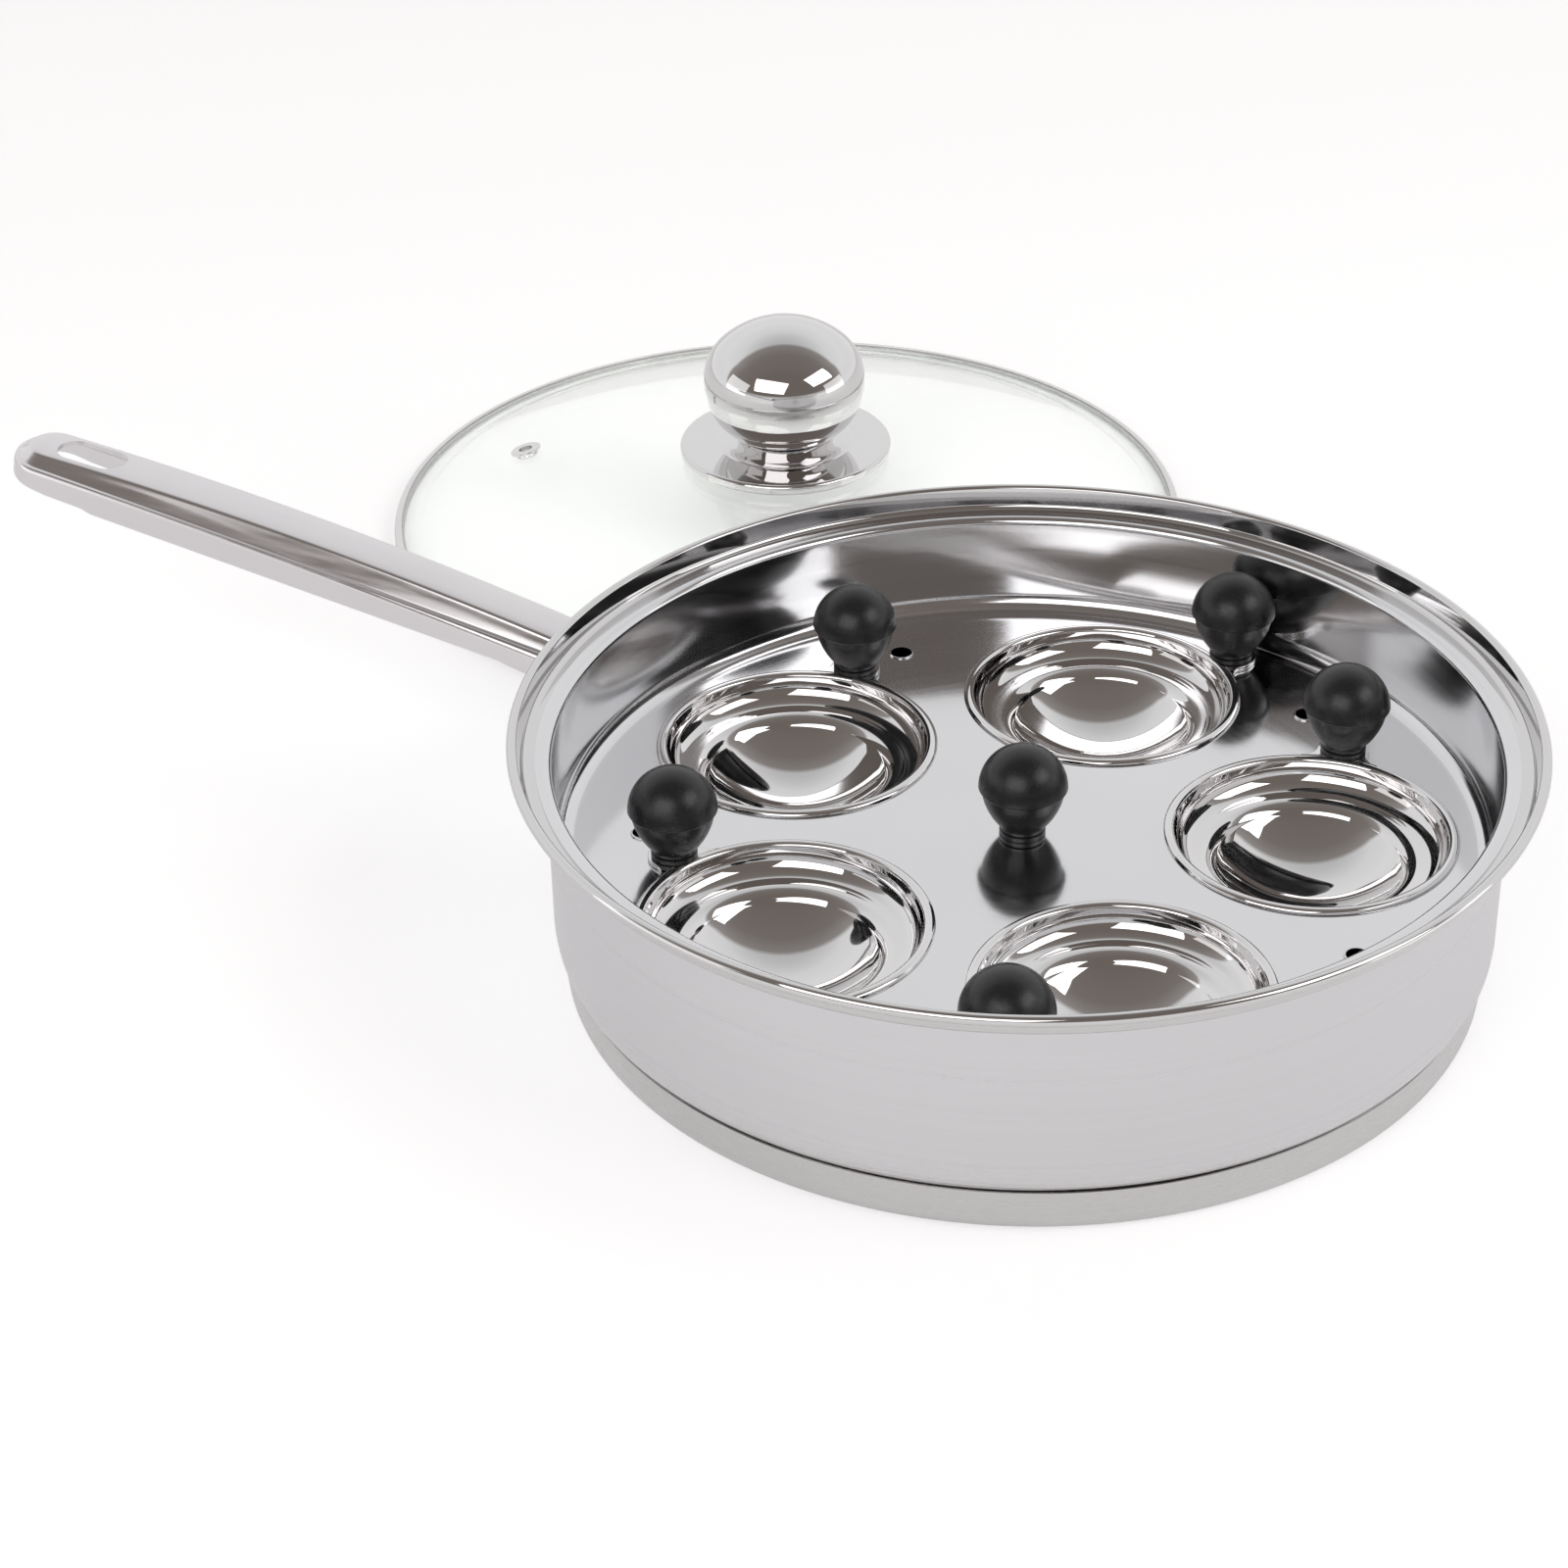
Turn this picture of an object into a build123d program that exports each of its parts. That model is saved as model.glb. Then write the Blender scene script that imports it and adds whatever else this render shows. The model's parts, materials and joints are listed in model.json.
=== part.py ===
from build123d import *
import os
from math import asin, cos, degrees, radians, sin, sqrt

# Egg poacher pan, millimetres. The origin is the centre of the pan's base on the table.
# +Z is up and the handle points along -X. The pan holds a lift-out tray with five cups,
# and the glass lid lies on the table behind the pan, right side up.

# Pan shell: one deep-drawn sheet with a ledge for the tray and a seat wall for the lid
pan_sheet = 0.8
wall_radius = 116.0  # outside of the straight wall
bottom_corner = 8.0  # outside radius where the wall turns into the floor
ledge_height = 60.5  # top of the ledge above the table
ledge_run = 6.1  # from the inside of the wall to the foot of the seat wall
ledge_edge_round = 2.3  # the ledge rolls over this radius into the wall
seat_foot_round = 1.6
seat_flare = 1.18  # the seat wall leans out by this much up to the rim
rim_rise = 6.1  # top of the rolled rim above the ledge
rim_roll = 1.35  # radius of the rolled bead along the rim
rim_roll_start = 30.0  # degrees up the bead where the seat wall runs into it

# Sandwich base: an aluminium core between the shell's floor and a steel cap
core_thickness = 9.0
core_top_round = 1.0
cap_sheet = 0.6
cap_inset = 2.4  # the cap's wall stands this far inside the pan's wall
cap_corner = 3.5
core_gap = 0.6  # between the core's edge and the cap's wall
cap_groove = 0.3  # open groove between the cap's edge and the shell's curved corner

# Handle: a stamped channel, open underneath. Its top is arched over a level valley line,
# the side bands under the top's edges are hollow, and a rounded skirt bulges below them.
handle_length = 179.0  # from the wall to the end of the top face
handle_slope = 7.75  # degrees of rise of the valley line towards the tip
handle_drop = 6.0  # start of the valley line below the ledge, at the wall
handle_root_half = 6.3  # half the width of the top face at the pan
handle_tip_half = 7.2  # half the width of the top face at the hanging hole
handle_root_rise = 4.5  # top face above the valley line at the wall
handle_tip_rise = 4.2
handle_arch = 2.9  # extra rise of the top face at half length
handle_valley_arch = 0.9
handle_root_skirt = 3.9  # skirt's edge below the valley line at the wall
handle_tip_skirt = 6.0
handle_sheet = 1.5
handle_edge_round = 0.7
handle_band_out = 0.5  # the band's foot stands out from the top's edge
handle_valley_round = 0.9
handle_brim_out = 3.0  # shoulder of the skirt's bulge
handle_brim_drop = 0.7
handle_brim_round = 2.0
handle_skirt_out = 4.2  # the skirt's edge stands out from the top face by this much
handle_weld_gap = 0.3
handle_end_rise = 2.4  # the skirt's edge is trimmed up by this much at the tip
handle_end_trim = 12.0  # length over which that trim rises
handle_notch_rise = 0.9  # the edge steps up by this much where the trim for the tip begins
handle_notch_trim = 24.0  # from the end of the top face to the top of that step
handle_notch_run = 4.0
handle_station_shares = (0, 0.25, 0.5, 0.75, 1)  # sections along the length

# Hanging hole: a slot through a thickened land
hang_length = 20.8
hang_width = 10.0
hang_from_tip = 9.4  # from the end of the top face to the slot's end
hang_land = 3.0  # depth of the slot's wall
hang_land_margin = 1.3  # the land reaches past the slot's ends by this much

# Bracket under the handle's root: a strap welded to the wall with a bowed foot
bracket_length = 26.0
bracket_bow = 1.3
bracket_edge = 0.3
bracket_sheet = 1.4
bracket_side_gap = 0.4  # inside the skirt's edges
bracket_foot_gap = 0.1  # under the skirt's edge where they are welded
bracket_weld_gap = 0.1

# Tray: a shallow dish whose lip lies on the pan's ledge
tray_sheet = 0.5
tray_wall_gap = 0.3  # between the tray's wall and the pan's wall
cup_floor_gap = 5.5  # water under the cups, down to the pan's floor
tray_cove = 4.5
tray_lip_round = 2.0
tray_lip_cover = 3.4  # the lip reaches out over the ledge by this much from the wall
vent_count = 5
vent_radius = 2.75
vent_wall_gap = 21.1  # from the tray's wall to the vents' centres
vent_start = 61.6
vent_rim = 0.5  # raised rim round each vent

# Cups: spun bowls with a hemmed flange and an ear that carries a ball knob
cup_count = 5
cup_start = 24.2  # degrees from +X to the first cup
cup_mouth_share = 0.2871  # inside radius at the plate, as a share of the pan's wall radius
cup_sheet = 0.6
cup_hole_gap = 0.4  # between the cup's wall and its hole in the tray
cup_lip_round = 0.6
cup_flange = 2.8  # from the inside of the mouth to the flange's edge
cup_rim_height = 1.2  # top of the flange above the plate
cup_hem = 1.2
cup_wall_gap = 7.7  # from the flange's edge to the tray's wall
cup_step_share = 0.8228  # radius of the step as a share of the mouth's
cup_step_drop = 7.5  # from the flange's top to the step
cup_step_ledge = 1.0
cup_crease_share = 0.6787
cup_crease_drop = 10.2
cup_ring_sag = 0.45
cup_depth = 18.7  # from the flange's top to the lowest point inside
ear_angles = (73.5, -43.7, -74.8, -81.6, -60.7)  # each ear's turn from its cup's outward direction
ear_margin = 0.9  # the ear's edge round the knob's foot
ear_neck_share = 0.12  # radius of the ear's neck as a share of the cup's mouth

# Ball knob, used on the tray and on every cup
ball_radius_share = 0.3303  # as a share of the cup's mouth
ball_neck_share = 0.518
ball_neck_height = 2.6
ball_height = 12.8  # from the seat to the ball's middle
ball_step = 0.8  # parting step at the ball's middle
ball_taper_bulge = 0.9
ball_groove = 0.5  # width and depth of the ring groove in the neck
ball_groove_height = 1.3
stud_radius = 2.0
stud_gap = 0.05
stud_reach = 12.0  # into the knob
stud_bottom_gap = 1.0

# Screw under the tray's centre knob
tray_washer_radius = 6.0
tray_washer_thickness = 1.0
tray_screw_head_radius = 4.0
tray_screw_head_height = 2.4
tray_screw_gap = 0.2

# Lid: a domed glass in a steel band
lid_clearance = 0.9  # between the lid's band and the foot of the pan's seat wall
lid_wall_gap = 6.2  # the lid lies this far from the pan's wall, its edge under the rim
lid_azimuth = 130.56  # degrees from +X to the lid's centre
band_sheet = 0.5
band_top_grip = 2.2
seal_sheet = 0.4
seal_show = 0.7  # the seal reaches in past the band by this much
seal_gap = 0.05
glass_sheet = 3.0
glass_land = 3.2  # flat edge of the glass inside the seal
glass_rise = 20.1  # top of the dome above the flat edge's top
glass_blend = 10.0
glass_hole = 5.5

# Vent eyelet in the lid's glass
eyelet_place = 84.3  # from the lid's axis
eyelet_azimuth = 191.2
eyelet_bore = 2.1
eyelet_sheet = 0.6
eyelet_flange = 4.8
eyelet_glass_gap = 0.15
eyelet_round = 0.25

# Lid knob: a collar plate, two spun halves with a ring between, and their inner core
collar_radius = 32.0
collar_sheet = 0.8
collar_lift = 2.6  # top of the collar's flat above the dome's top
collar_edge_drop = 2.4
collar_edge_round = 1.2
collar_boss_radius = 20.6
collar_boss_step = 0.5
collar_neck_radius = 14.7
collar_neck_rise = 3.1  # from the collar's flat to the neck
collar_flank_share = 0.333  # radius of the hollow flank as a share of the collar's radius
knob_waist_gap = 0.2
knob_radius = 23.8
knob_sheet = 0.8
knob_lower_height = 14.5
knob_ring_height = 3.4
knob_ring_out = 0.4
knob_dome_height = 17.9
knob_dome_side = 14.0  # radius of the dome's side, before the flatter crown
knob_core_radius = 9.0
knob_core_height = 26.0
gasket_inset = 1.2  # the gasket's edge stands inside the collar's edge
gasket_gap = 0.05
lid_screw_radius = 2.5
lid_screw_gap = 0.15
lid_screw_reach = 14.0
lid_screw_head_radius = 5.0
lid_screw_head_height = 2.8
lid_washer_radius = 9.0
lid_washer_thickness = 1.0
lid_rubber_thickness = 1.2
screw_slot_width = 1.2
screw_slot_depth = 0.9

overrun = 2.0  # cutting bodies run past the faces they cut by this much

# Sizes that follow from the ones above
shell_bottom = cap_sheet + core_thickness
wall_inside = wall_radius - pan_sheet
seat_radius = wall_inside + ledge_run
lid_radius = seat_radius - lid_clearance
rim_top = ledge_height + rim_rise
roll_height = rim_top - rim_roll
roll_radius = seat_radius + seat_flare - rim_roll * (1 - cos(radians(rim_roll_start))) + rim_roll
cap_radius = wall_radius - cap_inset
tray_outside = wall_inside - tray_wall_gap
tray_inside = tray_outside - tray_sheet
tray_top = ledge_height + tray_sheet
cup_mouth = wall_radius * cup_mouth_share
cup_step_radius = cup_mouth * cup_step_share
cup_crease_radius = cup_mouth * cup_crease_share
ball_radius = cup_mouth * ball_radius_share
ball_neck = ball_radius * ball_neck_share
cup_low = shell_bottom + pan_sheet + cup_floor_gap
cup_top = cup_low + cup_sheet + cup_depth
plate_top = cup_top - cup_rim_height
plate_bottom = plate_top - tray_sheet
tray_depth = tray_top - plate_top
cup_flange_radius = cup_mouth + cup_flange
cup_pitch = tray_inside - cup_wall_gap - cup_flange_radius
cup_hole_radius = cup_mouth + cup_sheet + cup_hole_gap
ear_reach = cup_mouth + cup_lip_round + ball_neck
ear_end = ball_neck + ear_margin
ear_neck_round = cup_mouth * ear_neck_share
glass_bottom = band_sheet + seal_sheet
glass_edge_top = glass_bottom + glass_sheet
glass_radius = lid_radius - band_sheet - seal_sheet - 2 * seal_gap
land_radius = glass_radius - glass_land
dome_top = glass_edge_top + glass_rise
dome_radius = (land_radius**2 + glass_rise**2) / (2 * glass_rise) - glass_blend
dome_centre = dome_top - dome_radius
washer_seat = dome_centre + sqrt((dome_radius - glass_sheet) ** 2 - lid_washer_radius**2) - gasket_gap
dome_end_angle = asin(land_radius / (dome_radius + glass_blend))
lid_distance = wall_radius + lid_radius + lid_wall_gap
collar_top = dome_top + collar_lift
neck_top = collar_top + collar_neck_rise
ring_bottom = neck_top + knob_lower_height
ring_top = ring_bottom + knob_ring_height

handle_tilt = radians(handle_slope)
handle_plane = Plane(
    origin=(-wall_radius, 0, ledge_height - handle_drop),
    x_dir=(-cos(handle_tilt), 0, sin(handle_tilt)),
    z_dir=(sin(handle_tilt), 0, cos(handle_tilt)),
)


def spin(*outline):
    """Solid turned about the vertical axis from closed outlines of radius and height."""
    return revolve(make_face([Plane.XZ * curve for curve in outline]), axis=Axis.Z)


def spun_sheet(path, thickness, side=Side.RIGHT):
    """Sheet turned about the vertical axis, laid on one side of its surface line."""
    return spin(offset(path, amount=thickness, side=side))


def ring(inner, outer, bottom, top):
    """Plain washer, or a disc where the inner radius is zero."""
    corners = [(inner, bottom), (outer, bottom), (outer, top), (inner, top)]
    return spin(Polyline(*corners, close=True))


# Pan


def pan_shell():
    # The surface line is the inside of the pan, from the floor's middle up to the rim
    floor = shell_bottom + pan_sheet
    start = radians(rim_roll_start)
    roll_foot = (roll_radius - rim_roll * cos(start), roll_height + rim_roll * sin(start))
    inside = FilletPolyline(
        (0, floor),
        (wall_inside, floor),
        (wall_inside, ledge_height),
        (seat_radius, ledge_height),
        roll_foot,
        radius=[bottom_corner - pan_sheet, ledge_edge_round, seat_foot_round],
    )
    section = make_face(offset(inside, amount=pan_sheet, side=Side.RIGHT))
    section += Pos(roll_radius, roll_height) * Circle(rim_roll)
    return revolve(Plane.XZ * section, axis=Axis.Z)


def base_core():
    edge = cap_radius - cap_sheet - core_gap
    outline = FilletPolyline(
        (0, cap_sheet),
        (edge, cap_sheet),
        (edge, shell_bottom),
        (0, shell_bottom),
        radius=[0, cap_corner, core_top_round, 0],
        close=True,
    )
    return spin(outline)


def base_cap():
    # The cap's edge stops just under the shell's curved corner
    inside = cap_radius - cap_sheet
    corner_run = inside - (wall_radius - bottom_corner)
    corner_under = shell_bottom + bottom_corner - sqrt(bottom_corner**2 - corner_run**2)
    line = FilletPolyline(
        (0, cap_sheet),
        (inside, cap_sheet),
        (inside, corner_under - cap_groove),
        radius=[cap_corner - cap_sheet],
    )
    return spun_sheet(line, cap_sheet)


# Handle


def handle_levels(share):
    """Half width, top, valley and skirt levels at a share of the length."""
    arch = 4 * share * (1 - share)
    half_width = handle_root_half + (handle_tip_half - handle_root_half) * share
    top = handle_root_rise + (handle_tip_rise - handle_root_rise) * share + handle_arch * arch
    valley = handle_valley_arch * arch
    skirt = -handle_root_skirt - (handle_tip_skirt - handle_root_skirt) * share
    return half_width, top, valley, skirt


def handle_half_section(share, sheet, extra):
    """Half of the filled section, drawn in by a sheet and lengthened downwards."""
    half_width, top, valley, skirt = handle_levels(share)
    outline = FilletPolyline(
        (0, top - sheet),
        (half_width - sheet, top - sheet),
        (half_width + handle_band_out - sheet, valley - sheet),
        (half_width + handle_brim_out - sheet, valley - handle_brim_drop - sheet),
        (half_width + handle_skirt_out - sheet, skirt - extra),
        (0, skirt - extra),
        radius=[0, handle_edge_round, handle_valley_round, handle_brim_round, 0, 0],
        close=True,
    )
    return make_face(Plane.YZ * outline)


def handle_body(sheet, extra):
    """Filled handle: arched sides lofted along the length and a turned nose."""
    nose_place = handle_length - handle_tip_half
    sections = []
    for share in handle_station_shares:
        place = Pos(-overrun + (nose_place + overrun) * share, 0, 0)
        sections.append(place * handle_half_section(share, sheet, extra))
    side = loft(sections)
    nose = revolve(sections[-1], axis=Axis((nose_place, 0, 0), (0, 0, 1)), revolution_arc=-180)
    return side + mirror(side, about=Plane.XZ) + nose


def hang_slot():
    outline = SlotOverall(hang_length, hang_width)
    low = -handle_tip_skirt - overrun
    centre = handle_length - hang_from_tip - hang_length / 2
    return extrude(Pos(centre, 0, low) * outline, handle_arch + handle_root_rise - low)


def hang_land_body():
    """The thickened land round the slot, from side to side and up past the top face."""
    length = hang_length + 2 * hang_land_margin
    low = handle_tip_rise - hang_land
    height = handle_arch + handle_root_rise - low
    centre = handle_length - hang_from_tip - hang_length / 2
    return Pos(centre, 0, low + height / 2) * Box(length, 4 * handle_tip_half, height)


def handle_tip_trim():
    """Wedge under the tip that trims the skirt's edge upwards, after a short step."""
    step = handle_length - handle_notch_trim
    start = step - handle_notch_run
    end = handle_length + handle_skirt_out
    low = -handle_tip_skirt - overrun
    notch = -handle_tip_skirt + handle_notch_rise
    corners = [
        (start, -handle_tip_skirt),
        (step, notch),
        (handle_length - handle_end_trim, notch),
        (end, -handle_tip_skirt + handle_end_rise),
        (end + overrun, -handle_tip_skirt + handle_end_rise),
        (end + overrun, low),
        (start, low),
    ]
    side = make_face(Plane.XZ * Polyline(*corners, close=True))
    return extrude(side, handle_tip_half + handle_skirt_out + overrun, both=True)


def pan_side(gap):
    """The pan's outside as a cutting body, up to the rim and held off by a gap."""
    wall = wall_radius + gap
    under = ledge_height - pan_sheet - gap
    seat = seat_radius + pan_sheet + gap
    outline = FilletPolyline(
        (0, 0),
        (wall, 0),
        (wall, under),
        (seat, under),
        (seat, rim_top),
        (0, rim_top),
        radius=[0, 0, ledge_edge_round - pan_sheet, seat_foot_round + pan_sheet, 0, 0],
        close=True,
    )
    return spin(outline)


def handle():
    hollow = handle_body(handle_sheet, overrun) - hang_land_body()
    body = handle_body(0, 0) - hollow - hang_slot() - handle_tip_trim()
    return handle_plane * body - pan_side(handle_weld_gap)


def handle_bracket():
    # The foot lies flat under the skirt's edge and bows downwards, the leg stands on the wall
    half_width = handle_root_half + handle_skirt_out - bracket_side_gap
    foot_top = -handle_root_skirt - bracket_foot_gap
    fall = (handle_tip_skirt - handle_root_skirt) / (handle_length - handle_tip_half)
    root = Vector(-overrun, foot_top)
    end = Vector(bracket_length, foot_top - fall * (bracket_length + overrun))
    edge = Vector(0, bracket_edge)
    foot = [
        Line(root, end),
        Line(end, end - edge),
        SagittaArc(end - edge, root - edge, bracket_bow - bracket_edge),
        Line(root - edge, root),
    ]
    strap = extrude(make_face([Plane.XZ * line for line in foot]), half_width, both=True)
    leg_half = handle_root_half - handle_sheet - bracket_side_gap
    leg_height = handle_root_skirt + bracket_edge
    leg_run = bracket_sheet + overrun
    leg = Box(leg_run, 2 * leg_half, leg_height)
    leg = Pos(bracket_sheet - leg_run / 2, 0, foot_top - bracket_edge + leg_height / 2) * leg
    return handle_plane * (strap + leg) - pan_side(bracket_weld_gap)


# Tray


def cup_angle(index):
    return cup_start + index * 360 / cup_count


def tray_dish():
    surface = FilletPolyline(
        (0, plate_top),
        (tray_inside, plate_top),
        (tray_inside, tray_top),
        (wall_inside + tray_lip_cover - tray_wall_gap, tray_top),
        radius=[tray_cove, tray_lip_round],
    )
    dish = spun_sheet(surface, tray_sheet)
    cup_hole = extrude(Circle(cup_hole_radius), tray_depth)
    vent = extrude(Circle(vent_radius), tray_depth)
    vent_edge = extrude(Circle(vent_radius + vent_rim), tray_sheet + vent_rim)
    below = plate_bottom - overrun
    for index in range(cup_count):
        dish -= Rot(0, 0, cup_angle(index)) * Pos(cup_pitch, 0, below) * cup_hole
    for index in range(vent_count):
        place = Rot(0, 0, vent_start + index * 360 / vent_count) * Pos(tray_inside - vent_wall_gap, 0, 0)
        dish += place * Pos(0, 0, plate_bottom) * vent_edge
        dish -= place * Pos(0, 0, below) * vent
    return dish - Pos(0, 0, below) * extrude(Circle(stud_radius + tray_screw_gap), tray_depth)


def tray_washer():
    low = plate_bottom - tray_washer_thickness
    return ring(stud_radius + tray_screw_gap, tray_washer_radius, low, plate_bottom)


def tray_screw():
    head_top = plate_bottom - tray_washer_thickness
    head_low = head_top - tray_screw_head_height
    head = ring(0, tray_screw_head_radius, head_low, head_top)
    slot = Box(2 * tray_screw_head_radius, screw_slot_width, 2 * screw_slot_depth)
    return head + ring(0, stud_radius, head_top, plate_top + stud_reach) - Pos(0, 0, head_low) * slot


# Ball knob, seat at height zero


def ball_knob():
    rim = ball_radius - ball_step
    middle_chord = Vector((ball_neck + rim) / 2, (ball_neck_height + ball_height) / 2)
    chord = Vector(rim - ball_neck, ball_height - ball_neck_height)
    bulge = middle_chord + Vector(chord.Y, -chord.X) * (ball_taper_bulge / chord.length)
    foot = FilletPolyline(
        (0, 0),
        (ball_neck, 0),
        (ball_neck, ball_groove_height),
        (ball_neck - ball_groove, ball_groove_height + ball_groove / 2),
        (ball_neck, ball_groove_height + ball_groove),
        (ball_neck, ball_neck_height),
        radius=0,
    )
    taper = ThreePointArc(foot @ 1, bulge, (rim, ball_height))
    step = Line(taper @ 1, (ball_radius, ball_height))
    ball = CenterArc((0, ball_height), ball_radius, 0, 90)
    axis = Line(ball @ 1, (0, 0))
    body = spin(foot, taper, step, ball, axis)
    bore = extrude(Circle(stud_radius + stud_gap), stud_reach + stud_bottom_gap)
    return body - bore


# Cups, each modelled about its own axis at its real height


def cup_surface():
    """Inside of the cup from the lowest point up to the flange's edge."""
    crease = (cup_crease_radius, cup_top - cup_crease_drop)
    bottom = (0, cup_top - cup_depth)
    sag = crease[1] - bottom[1]
    sphere = (cup_crease_radius**2 + sag**2) / (2 * sag)
    bowl = RadiusArc(bottom, crease, -sphere)
    step = (cup_step_radius, cup_top - cup_step_drop)
    shelf = SagittaArc(crease, step, cup_ring_sag)
    wall = FilletPolyline(
        step,
        (cup_step_radius + cup_step_ledge, step[1]),
        (cup_mouth, cup_top - cup_rim_height),
        (cup_mouth, cup_top),
        (cup_flange_radius - cup_sheet, cup_top),
        radius=[cup_sheet / 2, cup_sheet / 2, cup_lip_round],
    )
    return Curve() + [bowl, shelf, wall]


def cup_bowl():
    hem = FilletPolyline(
        (cup_flange_radius - cup_hem, plate_top),
        (cup_flange_radius, plate_top),
        (cup_flange_radius, cup_top),
        (cup_flange_radius - cup_hem, cup_top),
        radius=[0, cup_sheet, 0, 0],
        close=True,
    )
    return spun_sheet(cup_surface(), cup_sheet) + spin(hem)


def cup_ear():
    lobe = Pos(ear_reach, 0) * Circle(ear_end)
    bridge = Pos(ear_reach / 2, 0) * Rectangle(ear_reach, 2 * ear_end)
    plan = lobe + bridge + Circle(cup_flange_radius)
    corners = plan.vertices().filter_by_position(Axis.X, cup_mouth, cup_flange_radius)
    plan = fillet(corners, ear_neck_round)
    ear = extrude(Pos(0, 0, plate_top) * plan, cup_rim_height)
    return ear - extrude(Pos(0, 0, plate_top) * Circle(cup_flange_radius - cup_hem), cup_rim_height)


def egg_cup(index):
    ear_turn = Rot(0, 0, ear_angles[index])
    return cup_place(index) * (cup_bowl() + ear_turn * cup_ear())


def cup_place(index):
    return Rot(0, 0, cup_angle(index)) * Pos(cup_pitch, 0, 0)


def ear_place(index):
    """Where the knob of a cup stands: on the ear, over the middle of its round end."""
    return cup_place(index) * Rot(0, 0, ear_angles[index]) * Pos(ear_reach, 0, cup_top)


def cup_stud():
    return extrude(Circle(stud_radius), stud_reach)


# Lid, modelled about its own axis, right side up on the table


def dome_line(drop):
    """The glass's surface line from the axis to its edge, lowered square to the surface."""
    radius = dome_radius - drop
    blend = glass_blend + drop
    centre = (land_radius, glass_edge_top + glass_blend)
    arc = CenterArc((0, dome_centre), radius, 90, -degrees(dome_end_angle))
    turn = 180 + (90 - degrees(dome_end_angle))
    foot = CenterArc(centre, blend, turn, 270 - turn)
    return arc, foot, Line(foot @ 1, (glass_radius, glass_edge_top - drop))


def lid_glass():
    top = dome_line(0)
    low = dome_line(glass_sheet)
    edge = Line(top[2] @ 1, low[2] @ 1)
    axis = Line((0, dome_top), (0, dome_top - glass_sheet))
    glass = spin(*top, edge, *low, axis)
    glass -= extrude(Circle(glass_hole), rim_top)
    return glass - eyelet_place_on_dome() * extrude(
        Circle(eyelet_bore + eyelet_sheet + eyelet_glass_gap), glass_sheet + overrun, both=True
    )


def lid_band():
    # A channel that grips the seal from the edge
    top = glass_edge_top + seal_sheet + band_sheet
    line = FilletPolyline(
        (lid_radius - band_top_grip, band_sheet),
        (lid_radius - band_sheet, band_sheet),
        (lid_radius - band_sheet, top - band_sheet),
        (lid_radius - band_top_grip, top - band_sheet),
        radius=0,
    )
    return spun_sheet(line, band_sheet)


def lid_seal():
    grip = lid_radius - band_top_grip - seal_show
    edge = glass_radius + seal_gap
    corners = [
        (grip, glass_bottom),
        (edge, glass_bottom),
        (edge, glass_edge_top),
        (grip, glass_edge_top),
    ]
    line = Polyline(*corners)
    return spin(offset(line, amount=seal_sheet, side=Side.RIGHT, kind=Kind.INTERSECTION))


def eyelet_place_on_dome():
    """Frame on the dome's outside with its axis square to the glass."""
    lean = degrees(asin(eyelet_place / dome_radius))
    return Rot(0, 0, eyelet_azimuth) * Pos(0, 0, dome_centre) * Rot(0, lean, 0) * Pos(0, 0, dome_radius)


def lid_eyelet():
    outside = eyelet_bore + eyelet_sheet
    top = FilletPolyline(
        (eyelet_bore, eyelet_sheet),
        (eyelet_bore, 0),
        (eyelet_flange, 0),
        (eyelet_flange, eyelet_sheet),
        radius=[0, 0, eyelet_round, eyelet_round],
        close=True,
    )
    low = -glass_sheet - eyelet_sheet
    barrel = ring(eyelet_bore, outside, low, eyelet_sheet / 2)
    curl = ring(eyelet_bore, outside + eyelet_sheet, low, -glass_sheet - gasket_gap)
    return eyelet_place_on_dome() * (spin(top) + barrel + curl)


def knob_gasket():
    """Rubber pad between the dome and the collar: flat on top, domed underneath."""
    outside = collar_radius - collar_sheet - gasket_inset
    sphere = dome_radius + gasket_gap
    height = dome_centre + sqrt(sphere**2 - outside**2)
    inner_height = dome_centre + sqrt(sphere**2 - glass_hole**2)
    under = RadiusArc((outside, height), (glass_hole, inner_height), -sphere)
    top = collar_top - collar_sheet
    return spin(
        under,
        Polyline((glass_hole, inner_height), (glass_hole, top), (outside, top), (outside, height)),
    )


def lid_collar():
    """Stamped plate with a turned-down edge and a hollow-flanked boss up to the knob's neck."""
    boss = collar_top + collar_boss_step
    edge = FilletPolyline(
        (collar_radius, collar_top - collar_edge_drop),
        (collar_radius, collar_top),
        (collar_boss_radius, collar_top),
        (collar_boss_radius - collar_boss_step, boss),
        radius=[collar_edge_round, 0],
    )
    flank = RadiusArc(edge @ 1, (collar_neck_radius, neck_top), collar_radius * collar_flank_share)
    top = Line(flank @ 1, (lid_screw_radius + lid_screw_gap, neck_top))
    return spin(offset(Curve() + [edge, flank, top], amount=collar_sheet, side=Side.LEFT))


def knob_lower_line():
    """Bowl-shaped surface line of the knob's lower half, tangent to the ring above it."""
    reach = knob_radius - collar_neck_radius
    rise = knob_lower_height - knob_waist_gap
    bowl = (reach**2 + rise**2) / (2 * reach)
    start = (collar_neck_radius, neck_top + knob_waist_gap)
    return RadiusArc(start, (knob_radius, ring_bottom), -bowl)


def knob_lower():
    low = neck_top + knob_waist_gap
    floor = Line((knob_core_radius, low), (collar_neck_radius, low))
    return spin(offset(Curve() + [floor, knob_lower_line()], amount=knob_sheet, side=Side.LEFT))


def knob_ring():
    outline = FilletPolyline(
        (knob_radius - knob_sheet, ring_bottom),
        (knob_radius + knob_ring_out, ring_bottom),
        (knob_radius + knob_ring_out, ring_top),
        (knob_radius - knob_sheet, ring_top),
        radius=[0, eyelet_round, eyelet_round, 0],
        close=True,
    )
    return spin(outline)


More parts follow.
